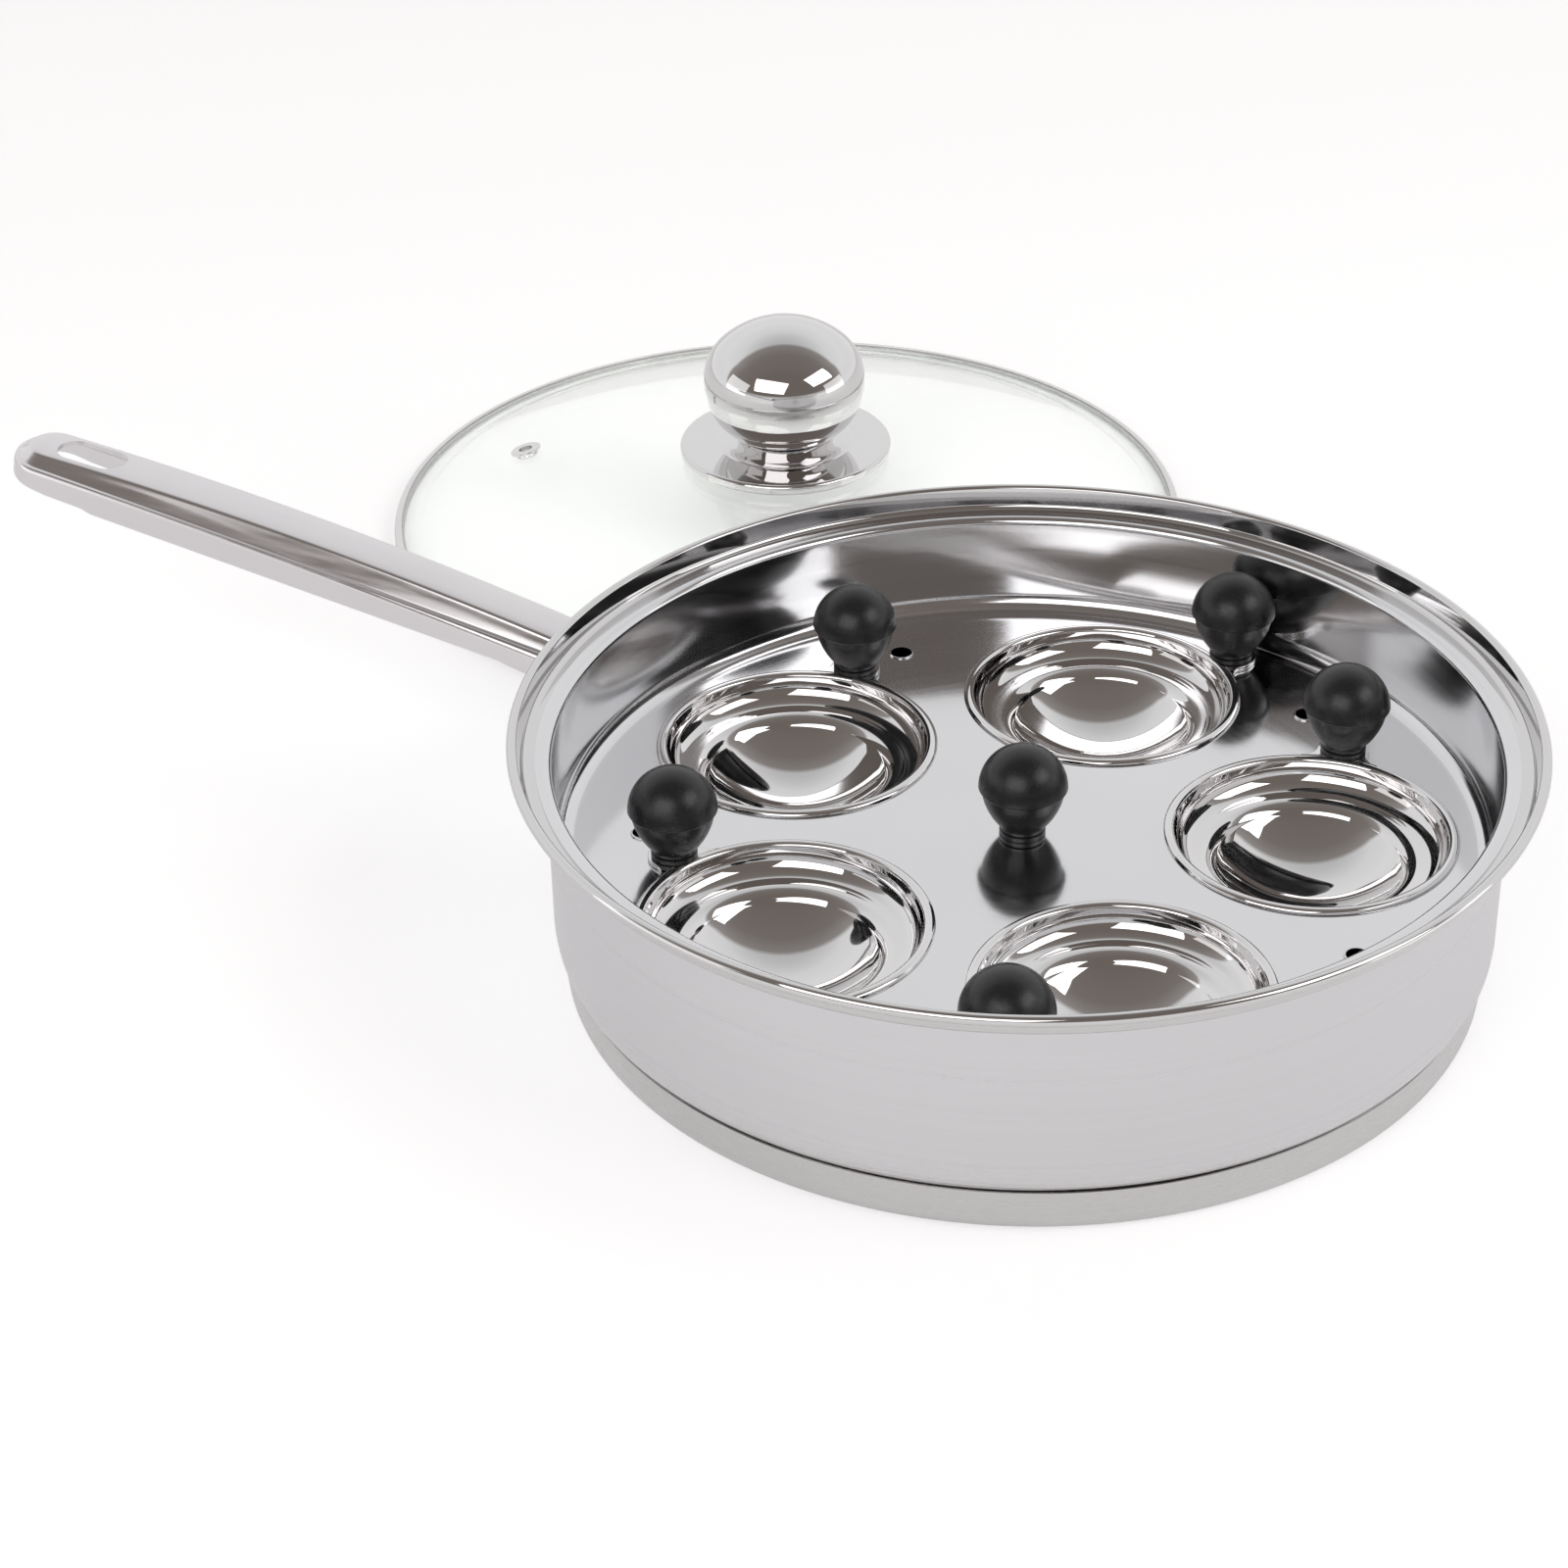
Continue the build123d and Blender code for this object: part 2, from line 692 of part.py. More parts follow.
def knob_upper():
    """Flattened dome: a tight side arc that runs on into a wide top arc."""
    run = knob_radius + knob_ring_out - knob_dome_side
    crown = (run**2 + knob_dome_height**2 - knob_dome_side**2) / (2 * (knob_dome_height - knob_dome_side))
    lean = degrees(asin(run / (crown - knob_dome_side)))
    side = CenterArc((run, ring_top), knob_dome_side, 0, 90 - lean)
    top = CenterArc((0, ring_top + knob_dome_height - crown), crown, 90 - lean, lean)
    return spun_sheet(Curve() + [side, top], knob_sheet, Side.LEFT)


def knob_core():
    """Moulded core that takes the screw and carries the two halves of the knob."""
    low = neck_top
    shoulder = ring_bottom
    flange = knob_radius - knob_sheet - knob_waist_gap
    outline = Polyline(
        (lid_screw_radius + lid_screw_gap, low),
        (knob_core_radius - knob_waist_gap, low),
        (knob_core_radius - knob_waist_gap, shoulder),
        (flange, shoulder),
        (flange, ring_top),
        (knob_core_radius, ring_top),
        (knob_core_radius, low + knob_core_height),
        (lid_screw_radius + lid_screw_gap, low + knob_core_height),
        close=True,
    )
    return spin(outline)


def lid_rubber_washer():
    top = washer_seat
    return ring(lid_screw_radius + lid_screw_gap, lid_washer_radius, top - lid_rubber_thickness, top)


def lid_washer():
    top = washer_seat - lid_rubber_thickness
    return ring(lid_screw_radius + lid_screw_gap, lid_washer_radius, top - lid_washer_thickness, top)


def lid_screw():
    top = washer_seat - lid_rubber_thickness - lid_washer_thickness
    low = top - lid_screw_head_height
    head = ring(0, lid_screw_head_radius, low, top)
    slot = Box(2 * lid_screw_head_radius, screw_slot_width, 2 * screw_slot_depth)
    return head + ring(0, lid_screw_radius, top, neck_top + lid_screw_reach) - Pos(0, 0, low) * slot


# All pieces in their places, one file for each

pieces = {
    "pan_shell": pan_shell(),
    "base_core": base_core(),
    "base_cap": base_cap(),
    "handle": handle(),
    "handle_bracket": handle_bracket(),
    "tray_dish": tray_dish(),
    "tray_knob": Pos(0, 0, plate_top) * ball_knob(),
    "tray_screw": tray_screw(),
    "tray_washer": tray_washer(),
}
for index in range(cup_count):
    pieces[f"egg_cup_{index + 1}"] = egg_cup(index)
    pieces[f"cup_knob_{index + 1}"] = ear_place(index) * ball_knob()
    pieces[f"cup_stud_{index + 1}"] = ear_place(index) * cup_stud()

lid_place = Rot(0, 0, lid_azimuth) * Pos(lid_distance, 0, 0) * Rot(0, 0, -lid_azimuth)
lid_pieces = {
    "lid_glass": lid_glass(),
    "lid_band": lid_band(),
    "lid_seal": lid_seal(),
    "lid_eyelet": lid_eyelet(),
    "lid_gasket": knob_gasket(),
    "lid_collar": lid_collar(),
    "lid_knob_lower": knob_lower(),
    "lid_knob_ring": knob_ring(),
    "lid_knob_upper": knob_upper(),
    "lid_knob_core": knob_core(),
    "lid_screw": lid_screw(),
    "lid_washer": lid_washer(),
    "lid_rubber_washer": lid_rubber_washer(),
}
for name, solid in lid_pieces.items():
    pieces[name] = lid_place * solid

os.makedirs("parts", exist_ok=True)
for name, solid in pieces.items():
    export_step(solid, f"parts/{name}.step")
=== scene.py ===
# %% [markdown]
# An egg poacher pan in polished and brushed steel.
# The solids of the pan, its tray, cups, knobs and lid come in as a fixed frame, in metres. This script gives
# every one its finish, turns the mirror-bright pieces again so that they reflect without a flaw, and
# sets up the studio. Loading comes first, because every later step is placed by what the frame holds.

# %% Load the frame
import json
from math import asin, cos, degrees, pi, radians, sin, sqrt

import bpy
from mathutils import Matrix, Vector


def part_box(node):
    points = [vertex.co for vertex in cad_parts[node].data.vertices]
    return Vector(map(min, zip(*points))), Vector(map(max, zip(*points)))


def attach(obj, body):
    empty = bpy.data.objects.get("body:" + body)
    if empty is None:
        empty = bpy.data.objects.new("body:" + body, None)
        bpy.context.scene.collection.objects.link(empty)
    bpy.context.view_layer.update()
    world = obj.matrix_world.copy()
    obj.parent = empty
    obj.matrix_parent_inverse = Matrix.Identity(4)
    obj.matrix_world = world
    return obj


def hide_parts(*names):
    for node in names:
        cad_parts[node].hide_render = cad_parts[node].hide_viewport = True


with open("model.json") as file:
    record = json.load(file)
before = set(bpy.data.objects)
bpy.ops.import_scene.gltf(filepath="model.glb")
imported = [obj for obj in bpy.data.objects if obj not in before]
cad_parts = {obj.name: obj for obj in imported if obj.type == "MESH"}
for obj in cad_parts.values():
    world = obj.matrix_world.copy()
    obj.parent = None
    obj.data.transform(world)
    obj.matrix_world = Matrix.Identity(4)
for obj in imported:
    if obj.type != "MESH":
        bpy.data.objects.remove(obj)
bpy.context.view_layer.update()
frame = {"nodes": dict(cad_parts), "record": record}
MM = 0.001
for body, members in frame["record"]["behaviour"]["bodies"].items():
    print(body, len(members), "pieces")

# %% [markdown]
# The camera. A product photograph like this is taken with a long lens from a little above the table. The place
# and the turn were worked out from the circles of the rim, the base and the lid, so they are typed in as found.
# A camera looks along its own -Z with +Y up, so a direction turned into a rotation is all it needs, and then a
# small roll about the line of sight, because the horizon was not quite level.

# %% Camera
VIEW_AZIMUTH = radians(117.31)
VIEW_FALL = radians(31.73)
VIEW_ROLL = -0.022
CAMERA_PLACE = (280.3, -670.0, 496.8)
LENS = 80.19
forward = Vector(
    (cos(VIEW_FALL) * cos(VIEW_AZIMUTH), cos(VIEW_FALL) * sin(VIEW_AZIMUTH), -sin(VIEW_FALL))
)
camera_data = bpy.data.cameras.new("studio_camera")
camera_data.lens = LENS
camera_data.sensor_width = 36
camera = bpy.data.objects.new("studio_camera", camera_data)
bpy.context.scene.collection.objects.link(camera)
turn = forward.to_track_quat("-Z", "Y").to_matrix() @ Matrix.Rotation(VIEW_ROLL, 3, "Z")
camera.matrix_world = Matrix.Translation(Vector(CAMERA_PLACE) * MM) @ turn.to_4x4()
bpy.context.scene.camera = camera
print("camera", [round(v, 3) for v in camera.location])

# %% [markdown]
# The studio. Polished metal has no colour of its own to show: it shows the room. So the room is the most
# important part of the finish. This one is a white sweep round the back and overhead, and a dark room in front,
# which gives steel the deep greys that make it look like steel. It is drawn on the world by the direction of
# each ray, so two helpers come first: one fills a colour ramp, and one turns angles into a direction.

# %% Ramps and directions
def fill_ramp(node, stops):
    """Puts (place, grey or colour) stops into a colour ramp."""
    elements = node.color_ramp.elements
    while len(elements) > 1:
        elements.remove(elements[0])
    for number, (place, value) in enumerate(stops):
        stop = elements[0] if number == 0 else elements.new(place)
        stop.position = place
        colour = value if isinstance(value, tuple) else (value, value, value)
        stop.color = (*colour, 1)


def from_angles(azimuth, height):
    """Unit direction from an azimuth and a height above the table, in degrees."""
    a, h = radians(azimuth), radians(height)
    return Vector((cos(h) * cos(a), cos(h) * sin(a), sin(h)))


DARK_SIDE = from_angles(-62.7, 22)
print("the dark side faces", [round(v, 2) for v in DARK_SIDE])

# %% [markdown]
# The world itself. One ramp runs over the height of each ray, from the table up to a softer grey overhead. A
# second one turns dark, with a crisp edge, where the ray points to the front half and clears the table. A
# picture of a room could do the same, but a few nodes are easier to bend until the steel looks right. What the
# camera sees directly, or through the glass, is plain white.

# %% World
CANOPY = [
    (0.0, 0.94), (0.50, 0.94), (0.62, 0.90), (0.74, 0.92), (0.86, 0.84), (0.95, 0.62), (1.0, 0.55)
]
GLOOM = [(0.0, 0.0), (0.07, 0.75), (0.30, 0.92), (0.75, 1.0)]
TABLE_EDGE = (0.08, 0.20)
DARK_ROOM = (0.185, 0.16, 0.143, 1)

world = bpy.data.worlds.new("studio")
bpy.context.scene.world = world
world.use_nodes = True
sky = world.node_tree
sky.nodes.clear()
out = sky.nodes.new("ShaderNodeOutputWorld")
direction = sky.nodes.new("ShaderNodeTexCoord")
parts = sky.nodes.new("ShaderNodeSeparateXYZ")
sky.links.new(direction.outputs["Generated"], parts.inputs[0])
to_share = sky.nodes.new("ShaderNodeMath")
to_share.operation = "MULTIPLY_ADD"
to_share.inputs[1].default_value = 0.5
to_share.inputs[2].default_value = 0.5
sky.links.new(parts.outputs["Z"], to_share.inputs[0])
canopy = sky.nodes.new("ShaderNodeValToRGB")
fill_ramp(canopy, CANOPY)
sky.links.new(to_share.outputs[0], canopy.inputs[0])
toward = sky.nodes.new("ShaderNodeVectorMath")
toward.operation = "DOT_PRODUCT"
toward.inputs[1].default_value = DARK_SIDE
sky.links.new(direction.outputs["Generated"], toward.inputs[0])
gloom = sky.nodes.new("ShaderNodeValToRGB")
fill_ramp(gloom, GLOOM)
sky.links.new(toward.outputs["Value"], gloom.inputs[0])
above_table = sky.nodes.new("ShaderNodeMapRange")
above_table.inputs["From Min"].default_value = TABLE_EDGE[0]
above_table.inputs["From Max"].default_value = TABLE_EDGE[1]
sky.links.new(parts.outputs["Z"], above_table.inputs["Value"])
dark_share = sky.nodes.new("ShaderNodeMath")
dark_share.operation = "MULTIPLY"
sky.links.new(gloom.outputs[0], dark_share.inputs[0])
sky.links.new(above_table.outputs[0], dark_share.inputs[1])
blend = sky.nodes.new("ShaderNodeMix")
blend.data_type = "RGBA"
blend.inputs["B"].default_value = DARK_ROOM
sky.links.new(dark_share.outputs[0], blend.inputs["Factor"])
sky.links.new(canopy.outputs[0], blend.inputs["A"])
room = sky.nodes.new("ShaderNodeBackground")
room.inputs["Strength"].default_value = 1.0
sky.links.new(blend.outputs["Result"], room.inputs["Color"])
white = sky.nodes.new("ShaderNodeBackground")
white.inputs["Color"].default_value = (1, 1, 1, 1)
rays = sky.nodes.new("ShaderNodeLightPath")
seen = sky.nodes.new("ShaderNodeMath")
seen.operation = "MAXIMUM"
sky.links.new(rays.outputs["Is Camera Ray"], seen.inputs[0])
sky.links.new(rays.outputs["Is Transmission Ray"], seen.inputs[1])
choose = sky.nodes.new("ShaderNodeMixShader")
sky.links.new(seen.outputs[0], choose.inputs[0])
sky.links.new(room.outputs[0], choose.inputs[1])
sky.links.new(white.outputs[0], choose.inputs[2])
sky.links.new(choose.outputs[0], out.inputs["Surface"])
print("world ready")

# %% [markdown]
# Lamps. A wide bright softbox stands to the left of the camera and a smaller one to the right: they are the
# crisp white windows seen in every ball and bowl. Two dimmer panels stand low on both sides, and between them a
# dark gap is left, which draws the deep grey streak down the middle of a polished ball.

# %% Lamps
def soft_lamp(name, azimuth, height, distance, width, tall, power):
    """A square lamp with a large soft face that looks at the pan."""
    data = bpy.data.lights.new(name, "AREA")
    data.shape = "RECTANGLE"
    data.size = width
    data.size_y = tall
    data.energy = power
    lamp = bpy.data.objects.new(name, data)
    bpy.context.scene.collection.objects.link(lamp)
    place = from_angles(azimuth, height) * distance
    aim = (-place).to_track_quat("-Z", "Y").to_matrix().to_4x4()
    lamp.matrix_world = Matrix.Translation(place) @ aim
    print(name, power, "W")


soft_lamp("key_softbox", -90, 37, 1.7, 1.45, 0.95, 9)
soft_lamp("right_softbox", 6, 42, 1.7, 1.1, 0.75, 6)
soft_lamp("left_panel", -143, 16, 1.8, 1.1, 0.9, 2.2)
soft_lamp("right_panel", 20, 12, 1.8, 1.1, 0.7, 1.6)

# %% [markdown]
# The floor. In the studio it is white paper, overexposed until it melts into the backdrop. More light would do
# that here too, but it would burn out the steel, so the floor keeps its pale colour and its shadows, and a little
# glow is added on top. The glow is strongest for the camera, weaker in reflections and faint through the glass.

# %% Floor
GLOW = (("Is Camera Ray", 0.43), ("Is Transmission Ray", 0.05), ("Is Glossy Ray", 0.20))

bpy.ops.object.select_all(action="DESELECT")
bpy.ops.mesh.primitive_plane_add(size=8, location=(0, 0, 0))
floor = bpy.context.object
floor.name = "floor"
floor_finish = bpy.data.materials.new("pale_floor")
floor_finish.use_nodes = True
tree = floor_finish.node_tree
paint = tree.nodes["Principled BSDF"]
paint.inputs["Base Color"].default_value = (0.86, 0.86, 0.87, 1)
paint.inputs["Roughness"].default_value = 0.6
paint.inputs["Specular IOR Level"].default_value = 0.1
rays = tree.nodes.new("ShaderNodeLightPath")
strength = None
for kind, amount in GLOW:
    step = tree.nodes.new("ShaderNodeMath")
    step.operation = "MULTIPLY_ADD"
    step.inputs[1].default_value = amount
    step.inputs[2].default_value = 0
    tree.links.new(rays.outputs[kind], step.inputs[0])
    if strength:
        tree.links.new(strength, step.inputs[2])
    strength = step.outputs[0]
glow = tree.nodes.new("ShaderNodeEmission")
tree.links.new(strength, glow.inputs["Strength"])
both = tree.nodes.new("ShaderNodeAddShader")
tree.links.new(paint.outputs[0], both.inputs[0])
tree.links.new(glow.outputs[0], both.inputs[1])
tree.links.new(both.outputs[0], tree.nodes["Material Output"].inputs["Surface"])
floor.data.materials.append(floor_finish)
print("floor", floor.dimensions.x, "metres wide")

# %% [markdown]
# Sections. Nearly every piece here was spun, pressed or turned about one axis, so each can be made from the
# line of its section. The corners of a line are rounded first, because bent sheet has no sharp corner, and then a
# sheet gets its thickness by laying a second line beside the first.

# %% Section lines
def arc(centre, radius, start, end, steps=8):
    """Points on an arc, angles in degrees."""
    angles = [radians(start + (end - start) * i / steps) for i in range(steps + 1)]
    return [(centre[0] + radius * cos(a), centre[1] + radius * sin(a)) for a in angles]


def rounded(corners, radii, steps=7):
    """Points of a line whose inner corners are rounded by the given radii."""
    points = [corners[0]]
    for before, corner, after, radius in zip(corners, corners[1:], corners[2:], radii):
        if radius == 0:
            points.append(corner)
            continue
        b, c, a = Vector(before), Vector(corner), Vector(after)
        into, away = (b - c).normalized(), (a - c).normalized()
        half = into.angle(away) / 2
        middle = c + (into + away).normalized() * (radius / sin(half))
        first = c + into * (radius / sin(half) * cos(half))
        last = c + away * (radius / sin(half) * cos(half))
        start = (first - middle).normalized()
        end = (last - middle).normalized()
        for step in range(steps + 1):
            share = step / steps
            spoke = start.slerp(end, share) if start.angle(end) > 0.001 else end
            points.append(tuple(middle + spoke * radius))
    points.append(corners[-1])
    return points


def beside(line, distance):
    """The line laid at a distance on its right-hand side."""
    laid = []
    for i, point in enumerate(line):
        here = Vector(point)
        before = (here - Vector(line[i - 1])).normalized() if i > 0 else None
        after = (Vector(line[i + 1]) - here).normalized() if i < len(line) - 1 else None
        if before is None or after is None:
            along = after if before is None else before
            laid.append((here.x + along.y * distance, here.y - along.x * distance))
            continue
        along = (before + after).normalized()
        reach = distance / max(0.3, along.dot(before))
        laid.append((here.x + along.y * reach, here.y - along.x * reach))
    return laid


def sheet(line, thickness):
    """Closed section of a sheet with the line on one side."""
    return line + beside(line, thickness)[::-1]


print("a quarter round has", len(arc((0, 0), 1, 0, 90)), "points")

# %% [markdown]
# Turning. In edit mode a single point is extruded along the section and spun right round, as on a lathe. The
# doubles at the seam and the poles are merged, and the normals are turned outwards. A screw modifier could turn
# the line too, but the operator leaves a plain mesh at once. A weighted normal modifier then keeps the flats
# flat, which a mirror needs.

# %% Turned pieces
MERGE = 0.000004


def start_point(name):
    """A new mesh object in edit mode with one single point at the origin."""
    bpy.ops.object.select_all(action="DESELECT")
    bpy.ops.mesh.primitive_plane_add(size=0.001, location=(0, 0, 0))
    piece = bpy.context.object
    piece.name = name
    piece.data.name = name
    bpy.ops.object.mode_set(mode="EDIT")
    bpy.ops.mesh.select_all(action="SELECT")
    bpy.ops.mesh.merge(type="CENTER")
    return piece


def draw_line(points):
    """Moves the single point to the first place and extrudes it along the rest, in millimetres."""
    spots = [Vector(point) * MM for point in points]
    bpy.ops.transform.translate(value=spots[0])
    for before, after in zip(spots, spots[1:]):
        bpy.ops.mesh.extrude_region_move(TRANSFORM_OT_translate={"value": after - before})


def smooth(piece, angle=35):
    """Smooth shading with flats kept flat."""
    bpy.ops.object.select_all(action="DESELECT")
    piece.select_set(True)
    bpy.context.view_layer.objects.active = piece
    bpy.ops.object.shade_smooth_by_angle(angle=radians(angle))
    weigh = piece.modifiers.new("weigh", "WEIGHTED_NORMAL")
    weigh.keep_sharp = True
    bpy.ops.object.modifier_apply(modifier=weigh.name)


def turned(name, outline, centre=(0, 0, 0), steps=192, closed=False):
    """A piece turned about an upright axis from its section, in millimetres."""
    piece = start_point(name)
    ring = outline + outline[:1] if closed else outline
    draw_line([(r, 0, z) for r, z in ring])
    bpy.ops.mesh.select_all(action="SELECT")
    bpy.ops.mesh.spin(steps=steps, angle=2 * pi, center=(0, 0, 0), axis=(0, 0, 1))
    bpy.ops.mesh.select_all(action="SELECT")
    bpy.ops.mesh.remove_doubles(threshold=MERGE)
    bpy.ops.mesh.normals_make_consistent(inside=False)
    bpy.ops.mesh.select_all(action="SELECT")
    bpy.ops.transform.translate(value=Vector(centre) * MM)
    bpy.ops.object.mode_set(mode="OBJECT")
    return piece


def stands_for(piece, node, body, slot):
    """Hides the plain solid and gives its place, body and finish to the new piece."""
    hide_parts(node)
    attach(piece, body)
    piece.data.materials.clear()
    piece.data.materials.append(finishes[slot])
    print(piece.name, len(piece.data.polygons), "faces")


# %% [markdown]
# Patterns. The marks on metal and plastic are fine noise: stretched very long it becomes brush lines, and read
# by radius and height it becomes the rings that polishing on a spindle leaves. All of it reads the piece's own
# coordinates, so it stays on the piece when it moves. A few small helpers build the nodes.

# %% Pattern helpers
def new_finish(name):
    """A new material, its node tree and its shader."""
    finish = bpy.data.materials.new(name)
    finish.use_nodes = True
    shader = finish.node_tree.nodes["Principled BSDF"]
    return finish, finish.node_tree, shader


def radius_and_height(tree, centre=(0, 0, 0)):
    """Distance from an upright axis and height, from the piece's own coordinates."""
    place = tree.nodes.new("ShaderNodeTexCoord")
    shift = tree.nodes.new("ShaderNodeVectorMath")
    shift.operation = "SUBTRACT"
    shift.inputs[1].default_value = centre
    flat = tree.nodes.new("ShaderNodeVectorMath")
    flat.operation = "MULTIPLY"
    flat.inputs[1].default_value = (1, 1, 0)
    length = tree.nodes.new("ShaderNodeVectorMath")
    length.operation = "LENGTH"
    split = tree.nodes.new("ShaderNodeSeparateXYZ")
    tree.links.new(place.outputs["Object"], shift.inputs[0])
    tree.links.new(shift.outputs[0], flat.inputs[0])
    tree.links.new(flat.outputs[0], length.inputs[0])
    tree.links.new(shift.outputs[0], split.inputs[0])
    return length.outputs["Value"], split.outputs["Z"]


def stretched_noise(tree, scale, detail=3.0, turn=(0, 0, 0), rings=False, centre=(0, 0, 0)):
    """Fine noise stretched into lines: straight along the small scales, or rings about an upright axis."""
    mapping = tree.nodes.new("ShaderNodeMapping")
    noise = tree.nodes.new("ShaderNodeTexNoise")
    noise.inputs["Scale"].default_value = 1.0
    noise.inputs["Detail"].default_value = detail
    if rings:
        radius, height = radius_and_height(tree, centre)
        joined = tree.nodes.new("ShaderNodeCombineXYZ")
        tree.links.new(radius, joined.inputs["X"])
        tree.links.new(height, joined.inputs["Z"])
        tree.links.new(joined.outputs[0], mapping.inputs["Vector"])
    else:
        place = tree.nodes.new("ShaderNodeTexCoord")
        tree.links.new(place.outputs["Object"], mapping.inputs["Vector"])
    mapping.inputs["Rotation"].default_value = turn
    mapping.inputs["Scale"].default_value = scale
    tree.links.new(mapping.outputs[0], noise.inputs["Vector"])
    return noise.outputs["Fac"]


def spread(tree, fac, low, high, start=0.3, end=0.7):
    """Spreads a pattern between two values."""
    node = tree.nodes.new("ShaderNodeMapRange")
    node.inputs["From Min"].default_value = start
    node.inputs["From Max"].default_value = end
    node.inputs["To Min"].default_value = low
    node.inputs["To Max"].default_value = high
    tree.links.new(fac, node.inputs["Value"])
    return node.outputs[0]


def bump(tree, shader, fac, depth):
    """Bump from a pattern, its depth in metres, on top of any bump already there."""
    node = tree.nodes.new("ShaderNodeBump")
    node.inputs["Distance"].default_value = depth
    tree.links.new(fac, node.inputs["Height"])
    if shader.inputs["Normal"].is_linked:
        tree.links.new(shader.inputs["Normal"].links[0].from_socket, node.inputs["Normal"])
    tree.links.new(node.outputs[0], shader.inputs["Normal"])


def two_shades(tree, fac, dark, light):
    """Colour that runs between two shades."""
    node = tree.nodes.new("ShaderNodeMix")
    node.data_type = "RGBA"
    node.inputs["A"].default_value = (*dark, 1)
    node.inputs["B"].default_value = (*light, 1)
    tree.links.new(fac, node.inputs["Factor"])
    return node.outputs["Result"]


def shade(colour, share):
    """The same colour, lighter or darker by a share."""
    return tuple(min(1.0, c * share) for c in colour)


print("pattern helpers ready")

# %% [markdown]
# Steel. All the steel here is one metal, and only its surface differs: how rough it is and which way the fine
# lines of the brush run. The lines drive the roughness and a faint bump. A polished sheet also has broad, shallow
# waves from the press, so a large soft noise bends the reflections a little. One recipe makes all these finishes,
# which keeps them in one family.

# %% Steel
STEEL = (0.68, 0.67, 0.672)
HANDLE_SLOPE = 7.75


def steel(
    name, rough, lines, wander=0.2, waves=0.0, depth=0.0, colour=STEEL, turn=(0, 0, 0), rings=False,
    centre=(0, 0, 0)
):
    """A steel finish: its roughness, the scale of its brush lines and the depth of its press waves."""
    finish, tree, shader = new_finish(name)
    shader.inputs["Metallic"].default_value = 1.0
    brush = stretched_noise(tree, lines, turn=turn, rings=rings, centre=centre)
    dullness = spread(tree, brush, rough * (1 - wander), rough * (1 + wander))
    tree.links.new(dullness, shader.inputs["Roughness"])
    cloud = stretched_noise(tree, (18, 18, 18), 2.0)
    tint = two_shades(tree, cloud, shade(colour, 0.95), shade(colour, 1.04))
    tree.links.new(tint, shader.inputs["Base Color"])
    if waves:
        bump(tree, shader, stretched_noise(tree, (26, 26, 26), 1.0), waves)
    if depth:
        bump(tree, shader, brush, depth)
    return finish


lid_low, lid_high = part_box("lid_band")
LID = ((lid_low.x + lid_high.x) / 2 / MM, (lid_low.y + lid_high.y) / 2 / MM, 0)
lid_centre = tuple(v * MM for v in LID)
HANDLE_TURN = (0, radians(HANDLE_SLOPE), 0)
BRIGHT = shade(STEEL, 1.08)
POLISH = (300, 300, 300)
PLAIN = (900, 900, 900)
finishes = {
    "base_steel": steel(
        "base_steel", 0.30, (5, 5, 900), 0.25, depth=0.0000006, colour=shade(STEEL, 0.97), rings=True
    ),
    "core_aluminium": steel("core_aluminium", 0.4, PLAIN, colour=(0.77, 0.77, 0.78)),
    "handle_steel": steel(
        "handle_steel", 0.17, (6, 420, 420), 0.3, colour=(0.74, 0.72, 0.735), turn=HANDLE_TURN
    ),
    "tray_steel": steel(
        "tray_steel", 0.12, (500, 500, 500), 0.2, 0.00001, colour=(0.72, 0.72, 0.735), rings=True
    ),
    "cup_steel": steel("cup_steel", 0.035, POLISH, 0.4, 0.000006, colour=BRIGHT),
    "lid_steel": steel("lid_steel", 0.04, POLISH, 0.4, colour=BRIGHT, rings=True, centre=lid_centre),
    "fastener_steel": steel("fastener_steel", 0.3, PLAIN),
}
print("lid centre", [round(v, 2) for v in LID])

# %% [markdown]
# The pan has two finishes in one sheet: a satin belt on the outside of the wall and a mirror everywhere else.
# One shader does both, with a mask from the distance to the axis and the height. Inside the mask the roughness
# and the colour are those of the brushed wall. Two materials on one mesh would do it too, but a mask gives the
# belt a soft edge wherever it is wanted.

# %% Pan steel
def pan_steel():
    """Mirror steel with a satin belt outside, under the rim."""
    finish, tree, shader = new_finish("pan_steel")
    shader.inputs["Metallic"].default_value = 1.0
    radius, height = radius_and_height(tree)
    outside = spread(tree, radius, 0, 1, 0.1153, 0.1158)
    under_rim = spread(tree, height, 1, 0, 0.0582, 0.0592)
    belt = tree.nodes.new("ShaderNodeMath")
    belt.operation = "MULTIPLY"
    tree.links.new(outside, belt.inputs[0])
    tree.links.new(under_rim, belt.inputs[1])
    brush = stretched_noise(tree, (5, 5, 800), 3.0, rings=True)
    satin = spread(tree, brush, 0.27, 0.37)
    rough = tree.nodes.new("ShaderNodeMix")
    rough.inputs["A"].default_value = 0.045
    tree.links.new(belt.outputs[0], rough.inputs["Factor"])
    tree.links.new(satin, rough.inputs["B"])
    tree.links.new(rough.outputs["Result"], shader.inputs["Roughness"])
    lines = two_shades(tree, brush, (0.70, 0.69, 0.71), (0.76, 0.75, 0.77))
    both = tree.nodes.new("ShaderNodeMix")
    both.data_type = "RGBA"
    both.inputs["A"].default_value = (*STEEL, 1)
    tree.links.new(belt.outputs[0], both.inputs["Factor"])
    tree.links.new(lines, both.inputs["B"])
    tree.links.new(both.outputs["Result"], shader.inputs["Base Color"])
    bump(tree, shader, stretched_noise(tree, (22, 22, 22), 1.0), 0.000003)
    return finish


finishes["pan_steel"] = pan_steel()
print("pan steel ready")

